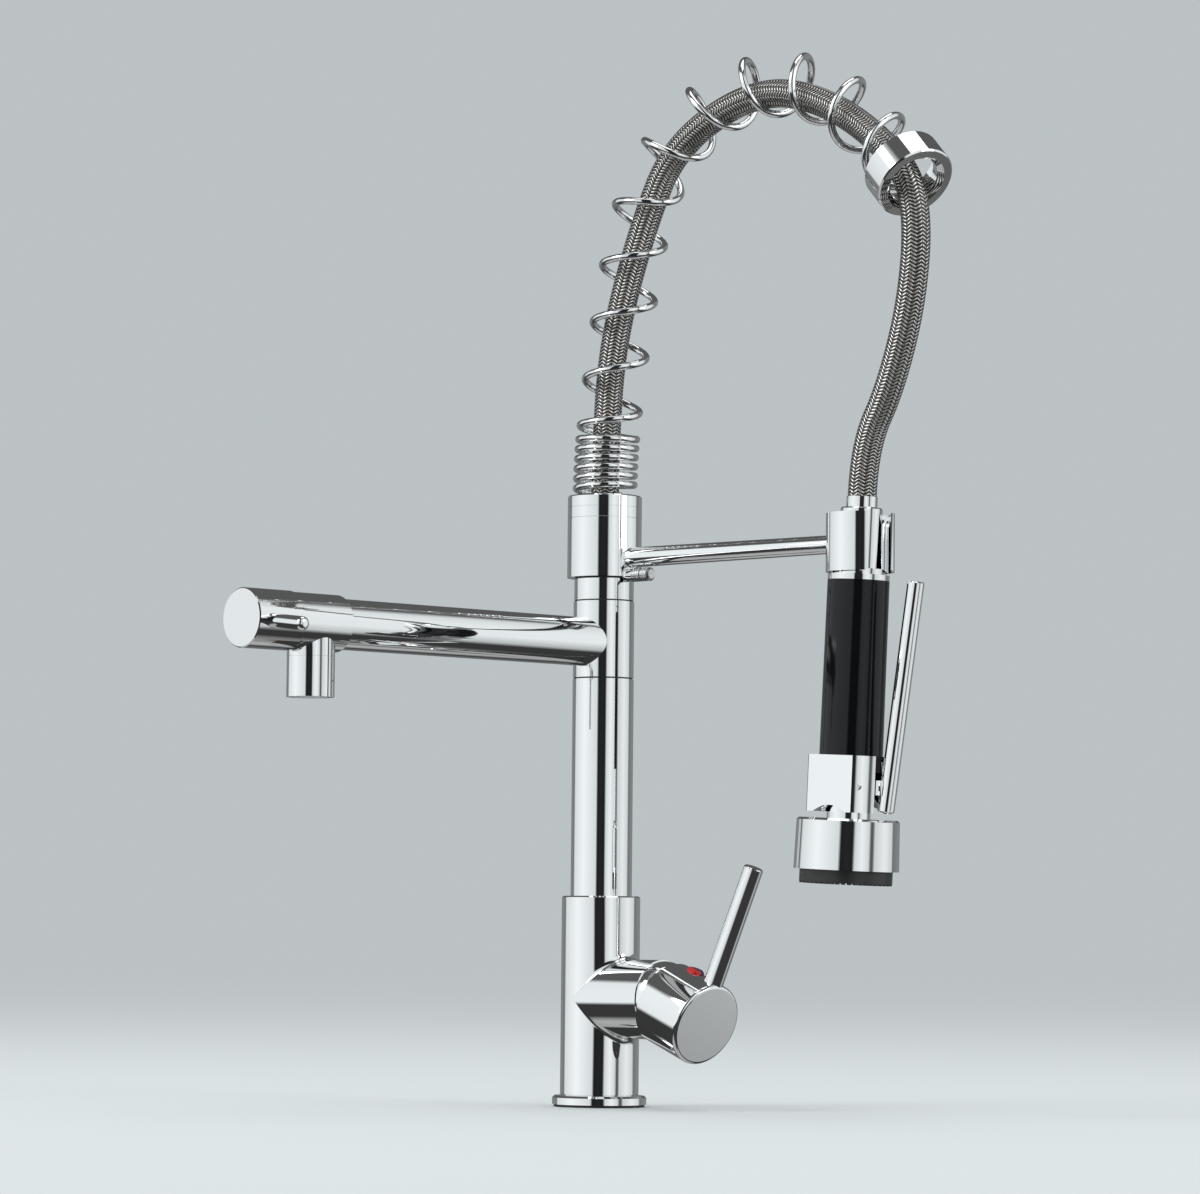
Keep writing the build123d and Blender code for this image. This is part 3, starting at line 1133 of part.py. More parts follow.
PIECES = [
    base_gasket, base_flange, shank, rubber_washer, steel_washer, lock_nut, mixer_body,
    cartridge_housing, ceramic_disc, moving_disc, cartridge_carrier, lift_pin, cartridge_nut,
    ball_cap, handle_stem, handle_dome, handle_rod, grub_screw, index_plug,
    column_connector, column_tube, spindle, ring_seals, glide_rings, spacer_ring,
    spout_hub, spout_tube, spout_tee, aerator_housing, aerator_insert,
    shutoff_valve, shutoff_stem, shutoff_knob, knob_peg,
    collar_sleeve, collar_middle_ring, collar_top_ring, collar_circlip, lower_ferrule,
    arm_rod, hose_clip, clamp_screw, spring, spring_end_ring, hose,
    head_ferrule, head_neck, neck_band, grip_core, grip_sleeve, head_block,
    lever_pin, trigger_lever, valve_plunger,
    spray_shroud, spray_chamber, nozzle_ring, spray_plate,
]

os.makedirs("parts", exist_ok=True)
print_spring_gap()
for make in PIECES:
    shape = make()
    if isinstance(shape, list):
        shape = Compound(children=shape)
    export_step(shape, f"parts/{make.__name__}.step")
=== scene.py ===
import json
import math
import bpy
from mathutils import Matrix, Vector


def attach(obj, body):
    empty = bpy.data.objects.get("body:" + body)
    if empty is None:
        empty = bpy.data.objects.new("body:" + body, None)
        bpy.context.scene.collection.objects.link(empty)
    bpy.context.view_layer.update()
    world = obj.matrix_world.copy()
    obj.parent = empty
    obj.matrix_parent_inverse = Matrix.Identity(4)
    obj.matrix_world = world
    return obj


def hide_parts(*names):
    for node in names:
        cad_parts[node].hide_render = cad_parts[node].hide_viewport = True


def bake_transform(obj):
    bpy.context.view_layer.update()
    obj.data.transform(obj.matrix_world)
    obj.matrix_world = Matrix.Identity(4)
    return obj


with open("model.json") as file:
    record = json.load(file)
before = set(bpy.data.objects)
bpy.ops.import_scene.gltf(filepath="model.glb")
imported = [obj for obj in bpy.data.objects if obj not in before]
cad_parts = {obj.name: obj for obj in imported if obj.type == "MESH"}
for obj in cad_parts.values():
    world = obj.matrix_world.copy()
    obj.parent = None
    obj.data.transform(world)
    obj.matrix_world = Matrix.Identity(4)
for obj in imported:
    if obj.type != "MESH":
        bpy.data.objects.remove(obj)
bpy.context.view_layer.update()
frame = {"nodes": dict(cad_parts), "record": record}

# Lengths are in metres, in the frame of the CAD model: +Z up, -Y the front, +X the handle side.
# The sizes of the collar, the spring, the spray head and the boss repeat those of the CAD model,
# but the coils of the spring are 0.2 mm smaller in radius.
MM = 0.001
UP = Vector((0, 0, 1))

# The camera that took the photograph: the lens points at one column of pixels, and the tap's
# own axis stands on another
PHOTO_WIDTH = 1200
FOCAL_PIXELS = 4500
CENTRE_COLUMN = 612
AXIS_COLUMN = 604
CAMERA_AZIMUTH = math.radians(45)
CAMERA_PITCH = math.radians(4.38)
CAMERA_ROLL = math.radians(0.55)
CAMERA_DISTANCE = 2.592
CAMERA_HEIGHT = 0.094
CAMERA_RANGE = 50
SENSOR = 36.0

# The collar that carries the spring, and the plane of the arm above it
ARM_AZIMUTH = math.radians(3.5)
MIDDLE_RING_TOP = 0.344
TOP_RING_TOP = 0.3507

# The spring: its axis is a chain of arcs, as (length, degrees turned), with a drift to one side
SPRING_AXIS = [(0.040, 7.0), (0.112, 7.0), (0.136, 77.5), (0.059, 35.0), (0.069, 8.5)]
AXIS_LENGTH = sum(length for length, turn in SPRING_AXIS)
SIDE_DRIFT = 0.0117
SIDE_DRIFT_START = 0.270
WIRE_RADIUS = 2.1 * MM
COIL_RADIUS = 16.7 * MM
COIL_START = 2.7 * MM
COIL_START_ANGLE = math.radians(112.5)
COIL_TURNS = 16.75
STACK_TURNS = 5.85
ARCH_TURNS = 9.6
BLEND_TURNS = 1.2
STACK_PITCH = 5.5 * MM
OPEN_PITCH = 33.0 * MM
ARCH_PITCH = 37.0 * MM
TANG_BEND = 5.0 * MM
# How finely the wire is drawn, and the part of a turn over which its direction is taken
COIL_STEPS = 40
BEND_STEPS = 10
WIRE_SIDES = 20
SHORT_TURN = 0.01

# The spray head, along its axis from the middle of the clip
HEAD_TILT = math.radians(2.74)
CLIP_REACH = 0.1882
HEAD_CENTRE = 0.31415
FERRULE_TOP = 0.0254

# The hose, from the collar to the ferrule of the spray head; the lower points of its route follow
# the photograph a little more closely than those of the CAD model
HOSE_RADIUS = 8.0 * MM
HOSE_LAST_RUN = 0.028
HOSE_ROUTE = [
    (0.0, 0.0, MIDDLE_RING_TOP),
    (0.0, 0.0, 0.3785), (0.0048, 0.0, 0.4411), (0.0272, 0.0, 0.5056), (0.0519, -0.0003, 0.5510),
    (0.1136, -0.0015, 0.5760), (0.1695, -0.0045, 0.5618), (0.2238, -0.0105, 0.5228),
    (0.2366, -0.0120, 0.4914), (0.2300, -0.0085, 0.4440), (0.2115, -0.0035, 0.3980),
]
SPLINE_ORDER = 3
SPLINE_STEPS = 40
HOSE_SIDES = 48

# The rounded corner between the mixer's body and the handle's boss, lifted just clear of both
BODY_RADIUS = 22.5 * MM
BOSS_HEIGHT = 61.45 * MM
FILLET_RADIUS = 4.0 * MM
FILLET_LIFT = 0.03 * MM
FILLET_STEPS = 96
FILLET_ROWS = 10

# Metals: their colours, the scale of the clouds in their polish, and that of the turning marks,
# which are squeezed along Z so that they run round the tap
CHROME = (0.90, 0.91, 0.915)
STEEL = (0.60, 0.60, 0.60)
BRASS = (0.70, 0.52, 0.26)
METAL_CLOUD = 35
MARK_SCALE = 900
MARK_STRETCH = (1, 1, 12)
MARK_STRENGTH = 0.15

# Plastics, rubber and ceramic: colours where they are darkest and lightest, the scale of the
# clouds between these, and how strongly they mirror
GLOSS_DARK = (0.003, 0.004, 0.005)
GLOSS_LIGHT = (0.005, 0.006, 0.007)
CERAMIC_DARK = (0.82, 0.80, 0.76)
CERAMIC_LIGHT = (0.86, 0.85, 0.82)
PLASTIC_CLOUD = 60
PLASTIC_MIRROR = 0.5
GLOSS_MIRROR = 0.3

# How much detail the clouds and the grain of any material have, and how deep the grain is
CLOUD_DETAIL = 3
GRAIN_DETAIL = 2
GRAIN_DEPTH = 0.2 * MM

# The index plug: red up to a place along Y, and blue past it
HOT_RED = (0.62, 0.02, 0.015)
COLD_BLUE = (0.004, 0.010, 0.07)
INDEX_SPLIT = 1.0 * MM
INDEX_ROUGHNESS = 0.18

# The braid: columns along the hose, in which the wires slant one way and then the other; its colour is
# darkened between the wires and along the column edges as painted shade
BRAID_COLUMNS = 16
BRAID_PITCH = 2.0 * MM
BRAID_SLANT = 1.7 * MM
# Painted shade: the colour between the wires, where the gaps of the braid lie in shade
BRAID_GAP_SHADE_COLOUR = (0.035, 0.034, 0.033)
BRAID_WIRE_COLOUR = (0.86, 0.84, 0.81)
BRAID_GAP_ROUGHNESS = 0.42
BRAID_WIRE_ROUGHNESS = 0.24
# How sharply the painted shade darkens the colour towards the edges of each column
BRAID_CREASE_SHADE_POWER = 0.35
BRAID_STRENGTH = 0.7
BRAID_DEPTH = 0.6 * MM

# Edges of the CAD model that turn more than this stay sharp
SHARP_ANGLE = math.radians(30)

# The studio round the object, as chrome mirrors it: soft panels and the dark gaps between them,
# each as (start, end, brightness of its middle), in degrees from the camera's side
PANELS = [
    (-180, -125, 0.25), (-125, -20, 1.0), (-20, 12, 0.02), (12, 48, 0.95),
    (48, 58, 0.12), (58, 115, 0.90), (115, 180, 0.25),
]
PANEL_EDGE = 2.5
PANEL_FALL = 0.75
PANEL_TINT = (0.96, 1.0, 1.01)
# Where the lit belt of the studio ends, as (degrees, sine below, sine of the counter, sine above)
STUDIO_BELT = [
    (-180, -0.50, -0.62, 0.14), (-145, -0.45, -0.62, 0.20), (-120, -0.22, -0.60, 0.50),
    (-100, -0.13, -0.60, 0.56), (-60, -0.20, -0.60, 0.80), (-30, -0.26, -0.90, 0.85),
    (60, -0.28, -0.99, 0.85), (75, -0.42, -0.78, 0.75), (95, -0.53, -0.78, 0.72),
    (130, -0.55, -0.78, 0.72), (148, -0.52, -0.76, 0.60), (160, -0.50, -0.62, 0.18),
    (180, -0.50, -0.62, 0.14),
]
BELT_SOFTNESS = 0.05
# The panels dim in directions that look down, to no less than the dimmest share
DIM_RATE = 1.1
DIMMEST = 0.55
# Below the belt lies a dark gap and then a pale counter, and above it a dim ceiling
UNDER_LEVEL = 0.04
COUNTER_LEVEL = 0.42
UPPER_LEVEL = 0.10

# What the camera sees behind the tap, the soft light all round it, and the floor
BACKDROP = (0.50, 0.54, 0.555)
SKY = (0.95, 0.97, 1.0)
SKY_STRENGTH = 0.75
FLOOR = (0.70, 0.74, 0.74)
FLOOR_REACH = 12.0
FLOOR_DROP = 0.2 * MM

# The lamps, as (name, place, size, watts), which all point at the middle of the tap
LAMP_TARGET = (0.08, 0, 0.3)
LAMPS = [
    ("key", (-0.9, -2.3, 1.9), (1.4, 1.4), 22),
    ("fill", (2.4, 0.6, 1.3), (1.2, 1.6), 12),
    ("top", (0.1, 0.3, 2.6), (1.6, 1.6), 10),
]


def link_object(name, data):
    """A new object of the scene, from its data."""
    item = bpy.data.objects.new(name, data)
    bpy.context.scene.collection.objects.link(item)
    return item


def camera_matrix():
    """Where the photograph was taken from: right, up and back of the camera, and its place."""
    forward = Vector((-math.sin(CAMERA_AZIMUTH), math.cos(CAMERA_AZIMUTH), 0))
    level_right = Vector((math.cos(CAMERA_AZIMUTH), math.sin(CAMERA_AZIMUTH), 0))
    look = forward * math.cos(CAMERA_PITCH) + UP * math.sin(CAMERA_PITCH)
    over = UP * math.cos(CAMERA_PITCH) - forward * math.sin(CAMERA_PITCH)
    right = level_right * math.cos(CAMERA_ROLL) + over * math.sin(CAMERA_ROLL)
    up = over * math.cos(CAMERA_ROLL) - level_right * math.sin(CAMERA_ROLL)
    aside = (CENTRE_COLUMN - AXIS_COLUMN) / FOCAL_PIXELS * CAMERA_DISTANCE
    matrix = Matrix((right, up, -look)).transposed().to_4x4()
    matrix.translation = level_right * aside - forward * CAMERA_DISTANCE + UP * CAMERA_HEIGHT
    return matrix


def make_camera():
    """The camera that took the photograph, as the scene's own."""
    data = bpy.data.cameras.new("camera")
    data.sensor_width = SENSOR
    data.lens = FOCAL_PIXELS / PHOTO_WIDTH * SENSOR
    data.shift_x = (PHOTO_WIDTH / 2 - CENTRE_COLUMN) / PHOTO_WIDTH
    data.clip_end = CAMERA_RANGE
    camera = link_object("camera", data)
    camera.matrix_world = camera_matrix()
    bpy.context.scene.camera = camera


def to_arm(point):
    """A point of the arm's plane in the frame of the whole tap."""
    return Matrix.Rotation(ARM_AZIMUTH, 3, "Z") @ Vector(point)


def head_point(along):
    """A point on the spray head's axis, at a height above the middle of the clip."""
    reach = CLIP_REACH + math.sin(HEAD_TILT) * along
    return to_arm((reach, 0, HEAD_CENTRE + math.cos(HEAD_TILT) * along))


def add_mesh(name, vertices, faces, uvs=None):
    """A smooth mesh as an object of its own, with one UV for each corner of each face."""
    mesh = bpy.data.meshes.new(name)
    mesh.from_pydata([tuple(v) for v in vertices], [], faces)
    mesh.polygons.foreach_set("use_smooth", [True] * len(mesh.polygons))
    if uvs:
        layer = mesh.uv_layers.new(name="UVMap")
        for loop, uv in zip(layer.data, uvs):
            loop.uv = uv
    mesh.update()
    return link_object(name, mesh)


def spline_points(route):
    """The points of a smooth line that has a route as its control points."""
    data = bpy.data.curves.new("route", "CURVE")
    data.dimensions = "3D"
    spline = data.splines.new("NURBS")
    spline.points.add(len(route) - 1)
    for point, corner in zip(spline.points, route):
        point.co = (*corner, 1)
    spline.order_u = SPLINE_ORDER
    spline.use_endpoint_u = True
    spline.resolution_u = SPLINE_STEPS
    holder = bpy.data.objects.new("route", data)
    line = bpy.data.meshes.new_from_object(holder)
    points = [vertex.co.copy() for vertex in line.vertices]
    bpy.data.objects.remove(holder)
    bpy.data.curves.remove(data)
    bpy.data.meshes.remove(line)
    return points


def tube(name, points, radius, sides):
    """A closed tube round a line of points, with the share round it and the distance along it as UVs."""
    count = len(points)
    tangents = []
    for index in range(count):
        ahead = points[min(index + 1, count - 1)] - points[max(index - 1, 0)]
        tangents.append(ahead.normalized())
    side = tangents[0].orthogonal().normalized()
    vertices, lengths, travelled = [], [], 0.0
    for index in range(count):
        if index:
            # The side is carried on from ring to ring, so that the tube doesn't twist
            travelled += (points[index] - points[index - 1]).length
            side = (side - tangents[index] * side.dot(tangents[index])).normalized()
        lengths.append(travelled)
        other = tangents[index].cross(side)
        for k in range(sides):
            angle = 2 * math.pi * k / sides
            offset = side * math.cos(angle) + other * math.sin(angle)
            vertices.append(points[index] + offset * radius)
    faces, uvs = [], []
    for index in range(count - 1):
        for k in range(sides):
            after = (k + 1) % sides
            low, high = index * sides, (index + 1) * sides
            faces.append((low + k, low + after, high + after, high + k))
            left, right = k / sides, (k + 1) / sides
            uvs += [(left, lengths[index]), (right, lengths[index])]
            uvs += [(right, lengths[index + 1]), (left, lengths[index + 1])]
    faces += [tuple(reversed(range(sides))), tuple(range((count - 1) * sides, count * sides))]
    uvs += [(0, 0)] * (2 * sides)
    return add_mesh(name, vertices, faces, uvs)


def hose_line():
    """The middle of the hose, one smooth line from the collar to the spray head."""
    route = [to_arm(corner) for corner in HOSE_ROUTE]
    route += [head_point(FERRULE_TOP + HOSE_LAST_RUN), head_point(FERRULE_TOP)]
    return spline_points(route)


def make_hose():
    """The braided hose, from the collar through the spring and its end ring to the spray head."""
    line = hose_line()
    hose = tube("braided_hose", line, HOSE_RADIUS, HOSE_SIDES)
    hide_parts("hose")
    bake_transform(hose)
    return hose


def axis_frame(distance):
    """Point, direction, outward normal and side of the spring's axis in the arm's plane."""
    reach, height, heading, left = 0.0, TOP_RING_TOP, 0.0, distance
    for index, (length, turn) in enumerate(SPRING_AXIS):
        # A distance past the end of the axis goes on along its last arc
        last = index == len(SPRING_AXIS) - 1
        part = left if last else min(left, length)
        radius = length / math.radians(turn)
        after = heading + part / radius
        reach += radius * (math.cos(heading) - math.cos(after))
        height += radius * (math.sin(after) - math.sin(heading))
        heading = after
        left -= part
        if left <= 0:
            break
    drifting = AXIS_LENGTH - SIDE_DRIFT_START
    past = max(0.0, distance - SIDE_DRIFT_START) / drifting
    lean = 2 * SIDE_DRIFT * past / drifting
    point = Vector((reach, -SIDE_DRIFT * past ** 2, height))
    direction = Vector((math.sin(heading), -lean, math.cos(heading))).normalized()
    normal = Vector((math.cos(heading), 0, -math.sin(heading)))
    return point, direction, normal, direction.cross(normal)


def pitch_gain(past, growth):
    """The climb that a growing pitch adds, a number of turns past where it starts to grow."""
    if past <= 0:
        return 0.0
    if past <= BLEND_TURNS:
        return growth * past ** 2 / (2 * BLEND_TURNS)
    return growth * (past - BLEND_TURNS / 2)


def coil_advance(turns):
    """How far along the axis the wire is after a number of turns."""
    tight = COIL_START + STACK_PITCH * turns
    opened = pitch_gain(turns - STACK_TURNS, OPEN_PITCH - STACK_PITCH)
    return tight + opened + pitch_gain(turns - ARCH_TURNS, ARCH_PITCH - OPEN_PITCH)


def coil_point(turns):
    """The middle of the wire after a number of turns, in the arm's plane."""
    point, direction, normal, side = axis_frame(coil_advance(turns))
    angle = COIL_START_ANGLE + 2 * math.pi * turns
    return point + normal * (COIL_RADIUS * math.cos(angle)) + side * (COIL_RADIUS * math.sin(angle))


def bend(start, corner, end):
    """Points of a smooth bend that leaves start towards a corner and arrives from it."""
    points = []
    for index in range(BEND_STEPS):
        t = index / BEND_STEPS
        points.append(start * (1 - t) ** 2 + corner * (2 * t * (1 - t)) + end * t ** 2)
    return points


def lower_tang():
    """The wire from its foot in the collar up to its first turn."""
    first = coil_point(0.0)
    onward = (coil_point(SHORT_TURN) - first).normalized()
    flat = Vector((onward.x, onward.y, 0)).normalized()
    foot = Vector((*(first - flat * TANG_BEND).xy, MIDDLE_RING_TOP))
    straight = Vector((*foot.xy, first.z - TANG_BEND))
    corner = Vector((*foot.xy, first.z))
    return [foot, (foot + straight) / 2] + bend(straight, corner, first)


def upper_tang():
    """The wire from its last turn to its tip in the end ring."""
    end, direction = axis_frame(AXIS_LENGTH)[:2]
    last = coil_point(COIL_TURNS)
    onward = (last - coil_point(COIL_TURNS - SHORT_TURN)).normalized()
    ahead = (onward - direction * onward.dot(direction)).normalized()
    corner = last + ahead * TANG_BEND
    tip = corner + direction * (end - corner).dot(direction)
    seat = tip - direction * 2 * WIRE_RADIUS
    return bend(last, corner, seat) + [seat, (seat + tip) / 2, tip]


def make_spring():
    """The chrome spring: a tight stack on the collar, then open coils over the arch."""
    turns = [coil_point(index / COIL_STEPS) for index in range(int(COIL_TURNS * COIL_STEPS))]
    points = lower_tang() + turns + upper_tang()
    spring = tube("chrome_spring", [to_arm(point) for point in points], WIRE_RADIUS, WIRE_SIDES)
    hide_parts("spring")
    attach(spring, "arm")
    return spring


def make_boss_fillet():
    """The rounded corner where the handle's boss meets the body, two cylinders of one radius."""
    vertices, faces, normals = [], [], []
    for rise in (1, -1):
        base = len(vertices)
        for index in range(FILLET_STEPS + 1):
            angle = math.pi * index / FILLET_STEPS
            across = (BODY_RADIUS + FILLET_RADIUS) * math.cos(angle)
            out = (BODY_RADIUS + FILLET_RADIUS) * math.sin(angle)
            # The middle of a ball that touches both cylinders, and the ways from it to their axes
            centre = Vector((out, across, BOSS_HEIGHT + rise * out))
            to_body = Vector((-out, -across, 0))
            to_boss = Vector((0, -across, -rise * out))
            for row in range(FILLET_ROWS + 1):
                inward = to_body.lerp(to_boss, row / FILLET_ROWS).normalized()
                vertices.append(centre + inward * (FILLET_RADIUS - FILLET_LIFT))
                normals.append(-inward)
        for index in range(FILLET_STEPS):
            for row in range(FILLET_ROWS):
                low = base + index * (FILLET_ROWS + 1) + row
                high = low + FILLET_ROWS + 1
                corners = (low, low + 1, high + 1, high)
                faces.append(tuple(reversed(corners)) if rise > 0 else corners)
    fillet = add_mesh("boss_fillet", vertices, faces)
    fillet.data.normals_split_custom_set_from_vertices(normals)
    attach(fillet, "tap_body")
    return fillet


class Graph:
    """The nodes of a material or of the world, with a short call for each kind used here."""

    def __init__(self, tree):
        self.nodes = tree.nodes
        self.links = tree.links

    def feed(self, node, inputs):
        """Set inputs to numbers, vectors or colours, or join them to outputs of other nodes."""
        for name, value in inputs.items():
            socket = node.inputs[name]
            if isinstance(value, bpy.types.NodeSocket):
                self.links.new(value, socket)
            elif socket.type == "RGBA":
                socket.default_value = (*value, 1)
            else:
                socket.default_value = value

    def add(self, kind, inputs=None, **settings):
        """A new node, with its settings made before its inputs are filled."""
        node = self.nodes.new(kind)
        for name, value in settings.items():
            setattr(node, name, value)
        self.feed(node, inputs or {})
        return node

    def math(self, operation, *values):
        """The result of one operation on numbers and outputs."""
        node = self.add("ShaderNodeMath", dict(enumerate(values)), operation=operation)
        return node.outputs["Value"]

    def limited(self, value, lowest, highest):
        """A value that is kept between two limits."""
        return self.math("MINIMUM", self.math("MAXIMUM", value, lowest), highest)

    def axes(self, vector):
        """The X, Y and Z of a vector, as the outputs of one node."""
        return self.add("ShaderNodeSeparateXYZ", {"Vector": vector}).outputs

    def place(self, kind):
        """The place of the shaded point, as one kind of texture coordinate."""
        return self.add("ShaderNodeTexCoord").outputs[kind]

    def noise(self, scale, detail, stretch=(1, 1, 1)):
        """Soft unevenness that stays with the object."""
        mapping = self.add("ShaderNodeMapping", {"Vector": self.place("Object"), "Scale": stretch})
        inputs = {"Vector": mapping.outputs["Vector"], "Scale": scale, "Detail": detail}
        return self.add("ShaderNodeTexNoise", inputs).outputs["Fac"]

    def ranged(self, value, low, high):
        """A value from 0 to 1 turned into another range."""
        change = self.add("ShaderNodeMapRange", {"Value": value, "To Min": low, "To Max": high})
        return change.outputs["Result"]

    def mixed(self, share, first, second):
        """A mix of two colours."""
        inputs = {"Factor": share, "A": first, "B": second}
        return self.add("ShaderNodeMix", inputs, data_type="RGBA").outputs["Result"]

    def bump(self, height, strength, distance):
        """The surface's direction where a height raises and sinks it."""
        inputs = {"Height": height, "Strength": strength, "Distance": distance}
        return self.add("ShaderNodeBump", inputs).outputs["Normal"]

    def background(self, colour, strength=1.0):
        """A light from all round, of one colour or of a colour for each direction."""
        inputs = {"Color": colour, "Strength": strength}
        return self.add("ShaderNodeBackground", inputs).outputs["Background"]

    def either(self, rays, usual, special):
        """One shader for most rays of light and another for one kind of them."""
        kind = self.add("ShaderNodeLightPath").outputs[rays]
        inputs = {"Fac": kind, 1: usual, 2: special}
        return self.add("ShaderNodeMixShader", inputs).outputs["Shader"]

    def compass(self, share, stops):
        """Three levels that change round the compass, from stops as (degrees, level, level, level)."""
        ramp = self.add("ShaderNodeValToRGB", {"Fac": share})
        elements = ramp.color_ramp.elements
        while len(elements) < len(stops):
            elements.new(0.5)
        # The new elements are only now moved to their places
        for element, (degrees, *levels) in zip(elements, stops):
            element.position = (degrees + 180) / 360
            element.color = (*levels, 1)
        return ramp.outputs["Color"]


def new_material(name):
    """A new material, with its graph and its main shader."""
    material = bpy.data.materials.new(name)
    material.use_nodes = True
    graph = Graph(material.node_tree)
    return material, graph, graph.nodes["Principled BSDF"]


def metal(name, colour, smooth, rough, turned=False):
    """A metal with a slight unevenness of polish, and turning marks where it is plain."""
    material, graph, shader = new_material(name)
    cloud = graph.noise(METAL_CLOUD, CLOUD_DETAIL)
    roughness = graph.ranged(cloud, smooth, rough)
    graph.feed(shader, {"Base Color": colour, "Metallic": 1.0, "Roughness": roughness})
    if turned:
        marks = graph.noise(MARK_SCALE, GRAIN_DETAIL, MARK_STRETCH)
        graph.feed(shader, {"Normal": graph.bump(marks, MARK_STRENGTH, GRAIN_DEPTH)})
    return material


def plastic(name, dark, light, smooth, rough, grain=None, mirror=PLASTIC_MIRROR):
    """A plastic, rubber or ceramic with clouds of tone; its grain is given as (scale, strength)."""
    material, graph, shader = new_material(name)
    cloud = graph.noise(PLASTIC_CLOUD, CLOUD_DETAIL)
    graph.feed(shader, {
        "Base Color": graph.mixed(cloud, dark, light),
        "Roughness": graph.ranged(cloud, smooth, rough),
        "Specular IOR Level": mirror,
    })
    if grain:
        scale, strength = grain
        height = graph.noise(scale, GRAIN_DETAIL)
        graph.feed(shader, {"Normal": graph.bump(height, strength, GRAIN_DEPTH)})
    return material


def index_material():
    """The index plug, red on the side of the hot water and blue on the other."""
    material, graph, shader = new_material("index_colour")
    cold = graph.math("GREATER_THAN", graph.axes(graph.place("Object"))["Y"], INDEX_SPLIT)
    colour = graph.mixed(cold, HOT_RED, COLD_BLUE)
    graph.feed(shader, {"Base Color": colour, "Roughness": INDEX_ROUGHNESS})
    return material


def braid_material():
    """Steel wire braid with painted shade in its gaps and creases, from the share round the hose and the
    distance along it.
    """
    material, graph, shader = new_material("braided_hose")
    place = graph.axes(graph.add("ShaderNodeUVMap").outputs["UV"])
    column = graph.math("MULTIPLY", place["X"], BRAID_COLUMNS)
    slant = graph.math("MULTIPLY", graph.math("PINGPONG", column, 1.0), BRAID_SLANT / BRAID_PITCH)
    along = graph.math("MULTIPLY", place["Y"], 1 / BRAID_PITCH)
    phase = graph.math("MULTIPLY", graph.math("ADD", slant, along), 2 * math.pi)
    # Bright on the wires and dark in the gaps between them: painted shade in the colour
    wire = graph.math("MULTIPLY_ADD", graph.math("SINE", phase), 0.5, 0.5)
    # Darker towards the edges of each column: painted shade in the creases between the plaits
    across = graph.math("SINE", graph.math("MULTIPLY", column, math.pi))
    crease_shade = graph.math("POWER", graph.math("ABSOLUTE", across), BRAID_CREASE_SHADE_POWER)
    level = graph.math("MULTIPLY", wire, crease_shade)
    graph.feed(shader, {
        "Metallic": 1.0,
        "Base Color": graph.mixed(level, BRAID_GAP_SHADE_COLOUR, BRAID_WIRE_COLOUR),
        "Roughness": graph.ranged(level, BRAID_GAP_ROUGHNESS, BRAID_WIRE_ROUGHNESS),
        "Normal": graph.bump(level, BRAID_STRENGTH, BRAID_DEPTH),
    })
    return material


def grey(level):
    """A colour of one level."""
    return (level, level, level)


def make_materials():
    """One material for each slot of the record, and a near-black one of painted seam shade for the
    glide_rings node.
    """
    # The two numbers after the colours are the roughness where it is least and where it is most
    return {
        "chrome": metal("chrome", CHROME, 0.015, 0.03),
        "steel": metal("steel", STEEL, 0.22, 0.34, turned=True),
        "brass": metal("brass", BRASS, 0.24, 0.38, turned=True),
        "black_rubber": plastic("black_rubber", grey(0.018), grey(0.03), 0.5, 0.65, grain=(700, 0.1)),
        "inner_plastic": plastic("inner_plastic", grey(0.70), grey(0.78), 0.35, 0.5),
        "ceramic": plastic("ceramic", CERAMIC_DARK, CERAMIC_LIGHT, 0.15, 0.25),
        "black_gloss": plastic("black_gloss", GLOSS_DARK, GLOSS_LIGHT, 0.05, 0.10, mirror=GLOSS_MIRROR),
        "black_plastic": plastic("black_plastic", grey(0.015), grey(0.024), 0.3, 0.42, grain=(900, 0.08)),
        "braided_hose": braid_material(),
        "index_colour": index_material(),
        # Painted shade: near black, so that the seams of the column read dark, though the rings' own
        # plastic is pale
        "glide": plastic("glide", grey(0.02), grey(0.03), 0.4, 0.5),
    }


def dress(materials, hose, chromed):
    """Give every node of the frame and every piece made here its material."""
    slots = {part["node"]: part["material_slot"] for part in frame["record"]["subparts"]}
    for node, piece in frame["nodes"].items():
        piece.data.materials.clear()
        piece.data.materials.append(materials[slots[node]])
        piece.data.polygons.foreach_set("use_smooth", [True] * len(piece.data.polygons))
        piece.data.set_sharp_from_angle(angle=SHARP_ANGLE)
    # The glide rings are coloured near black, as painted shade in the seams of the column
    frame["nodes"]["glide_rings"].data.materials[0] = materials["glide"]
    hose.data.materials.append(materials["braided_hose"])
    for piece in chromed:
        piece.data.materials.append(materials["chrome"])


def panel_stops():
    """Degrees and colour round the studio; each panel is brightest in its middle."""
    stops = []
    for start, end, level in PANELS:
        edge = level * PANEL_FALL
        levels = [(start + PANEL_EDGE, edge), ((start + end) / 2, level), (end - PANEL_EDGE, edge)]
        stops += [(degrees, *(value * tint for tint in PANEL_TINT)) for degrees, value in levels]
    return stops


def above(graph, height, edge):
    """Zero below an edge and one above it, with a soft change."""
    steep = graph.math("DIVIDE", graph.math("SUBTRACT", height, edge), BELT_SOFTNESS)
    return graph.limited(graph.math("ADD", steep, 0.5), 0.0, 1.0)


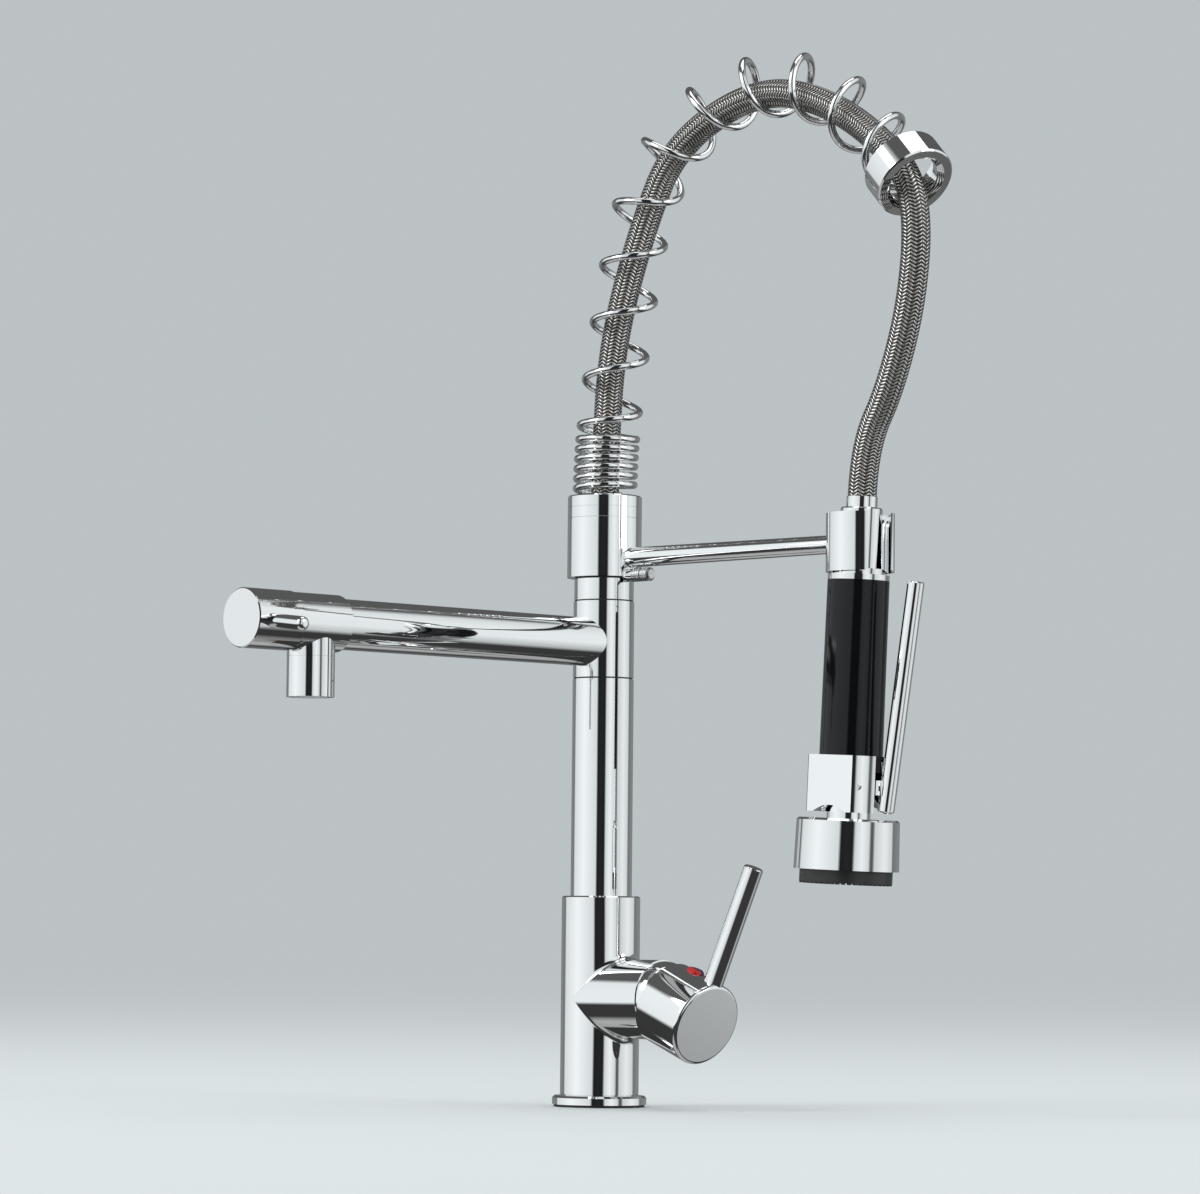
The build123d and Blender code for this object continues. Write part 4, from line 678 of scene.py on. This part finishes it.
def studio_colour(graph):
    """The colour of the studio in each direction, as polished metal mirrors it."""
    towards = graph.axes(graph.place("Generated"))
    angle = graph.math("ARCTAN2", towards["Y"], towards["X"])
    turned = graph.math("ADD", angle, math.pi / 2 - CAMERA_AZIMUTH + math.pi)
    wrapped = graph.math("FLOORED_MODULO", turned, 2 * math.pi)
    share = graph.math("DIVIDE", wrapped, 2 * math.pi)
    shade = graph.limited(graph.math("MULTIPLY_ADD", towards["Z"], DIM_RATE, DIM_RATE), DIMMEST, 1.0)
    belt = graph.compass(share, panel_stops())
    dimmed = graph.add("ShaderNodeVectorMath", {"Vector": belt, "Scale": shade}, operation="SCALE")
    edges = [(degrees, *(0.5 + sine / 2 for sine in sines)) for degrees, *sines in STUDIO_BELT]
    limits = graph.add("ShaderNodeSeparateColor", {"Color": graph.compass(share, edges)}).outputs
    height = graph.math("MULTIPLY_ADD", towards["Z"], 0.5, 0.5)
    past_counter = above(graph, height, limits["Green"])
    ground = graph.mixed(past_counter, grey(COUNTER_LEVEL), grey(UNDER_LEVEL))
    lit = graph.mixed(above(graph, height, limits["Red"]), ground, dimmed.outputs["Vector"])
    return graph.mixed(above(graph, height, limits["Blue"]), lit, grey(UPPER_LEVEL))


def make_world():
    """A pale backdrop for the camera, soft light all round, and the studio for reflections."""
    world = bpy.data.worlds.new("studio")
    bpy.context.scene.world = world
    world.use_nodes = True
    graph = Graph(world.node_tree)
    graph.nodes.clear()
    light = graph.background(SKY, SKY_STRENGTH)
    mirrored = graph.either("Is Glossy Ray", light, graph.background(studio_colour(graph)))
    seen = graph.either("Is Camera Ray", mirrored, graph.background(BACKDROP))
    graph.add("ShaderNodeOutputWorld", {"Surface": seen})


def make_floor():
    """A plain pale floor; metal mirrors the studio below it instead."""
    signs = [(-1, -1), (1, -1), (1, 1), (-1, 1)]
    corners = [(x * FLOOR_REACH, y * FLOOR_REACH, 0) for x, y in signs]
    floor = add_mesh("floor", corners, [(0, 1, 2, 3)])
    floor.location.z = -FLOOR_DROP
    material, graph, shader = new_material("floor")
    graph.feed(shader, {"Base Color": FLOOR, "Roughness": 1.0, "Specular IOR Level": 0.0})
    clear = graph.add("ShaderNodeBsdfTransparent").outputs["BSDF"]
    surface = graph.either("Is Glossy Ray", shader.outputs["BSDF"], clear)
    graph.feed(graph.nodes["Material Output"], {"Surface": surface})
    floor.data.materials.append(material)


def make_lamps():
    """Soft lamps in front of the tap, beside it and over it."""
    for name, place, size, watts in LAMPS:
        data = bpy.data.lights.new(name, "AREA")
        data.shape = "RECTANGLE"
        data.size, data.size_y = size
        data.energy = watts
        lamp = link_object(name, data)
        lamp.location = place
        towards = Vector(LAMP_TARGET) - Vector(place)
        lamp.rotation_euler = towards.to_track_quat("-Z", "Y").to_euler()


make_camera()
hose = make_hose()
chromed = [make_spring(), make_boss_fillet()]
dress(make_materials(), hose, chromed)
make_floor()
make_world()
make_lamps()
bpy.context.scene.view_settings.view_transform = "Standard"
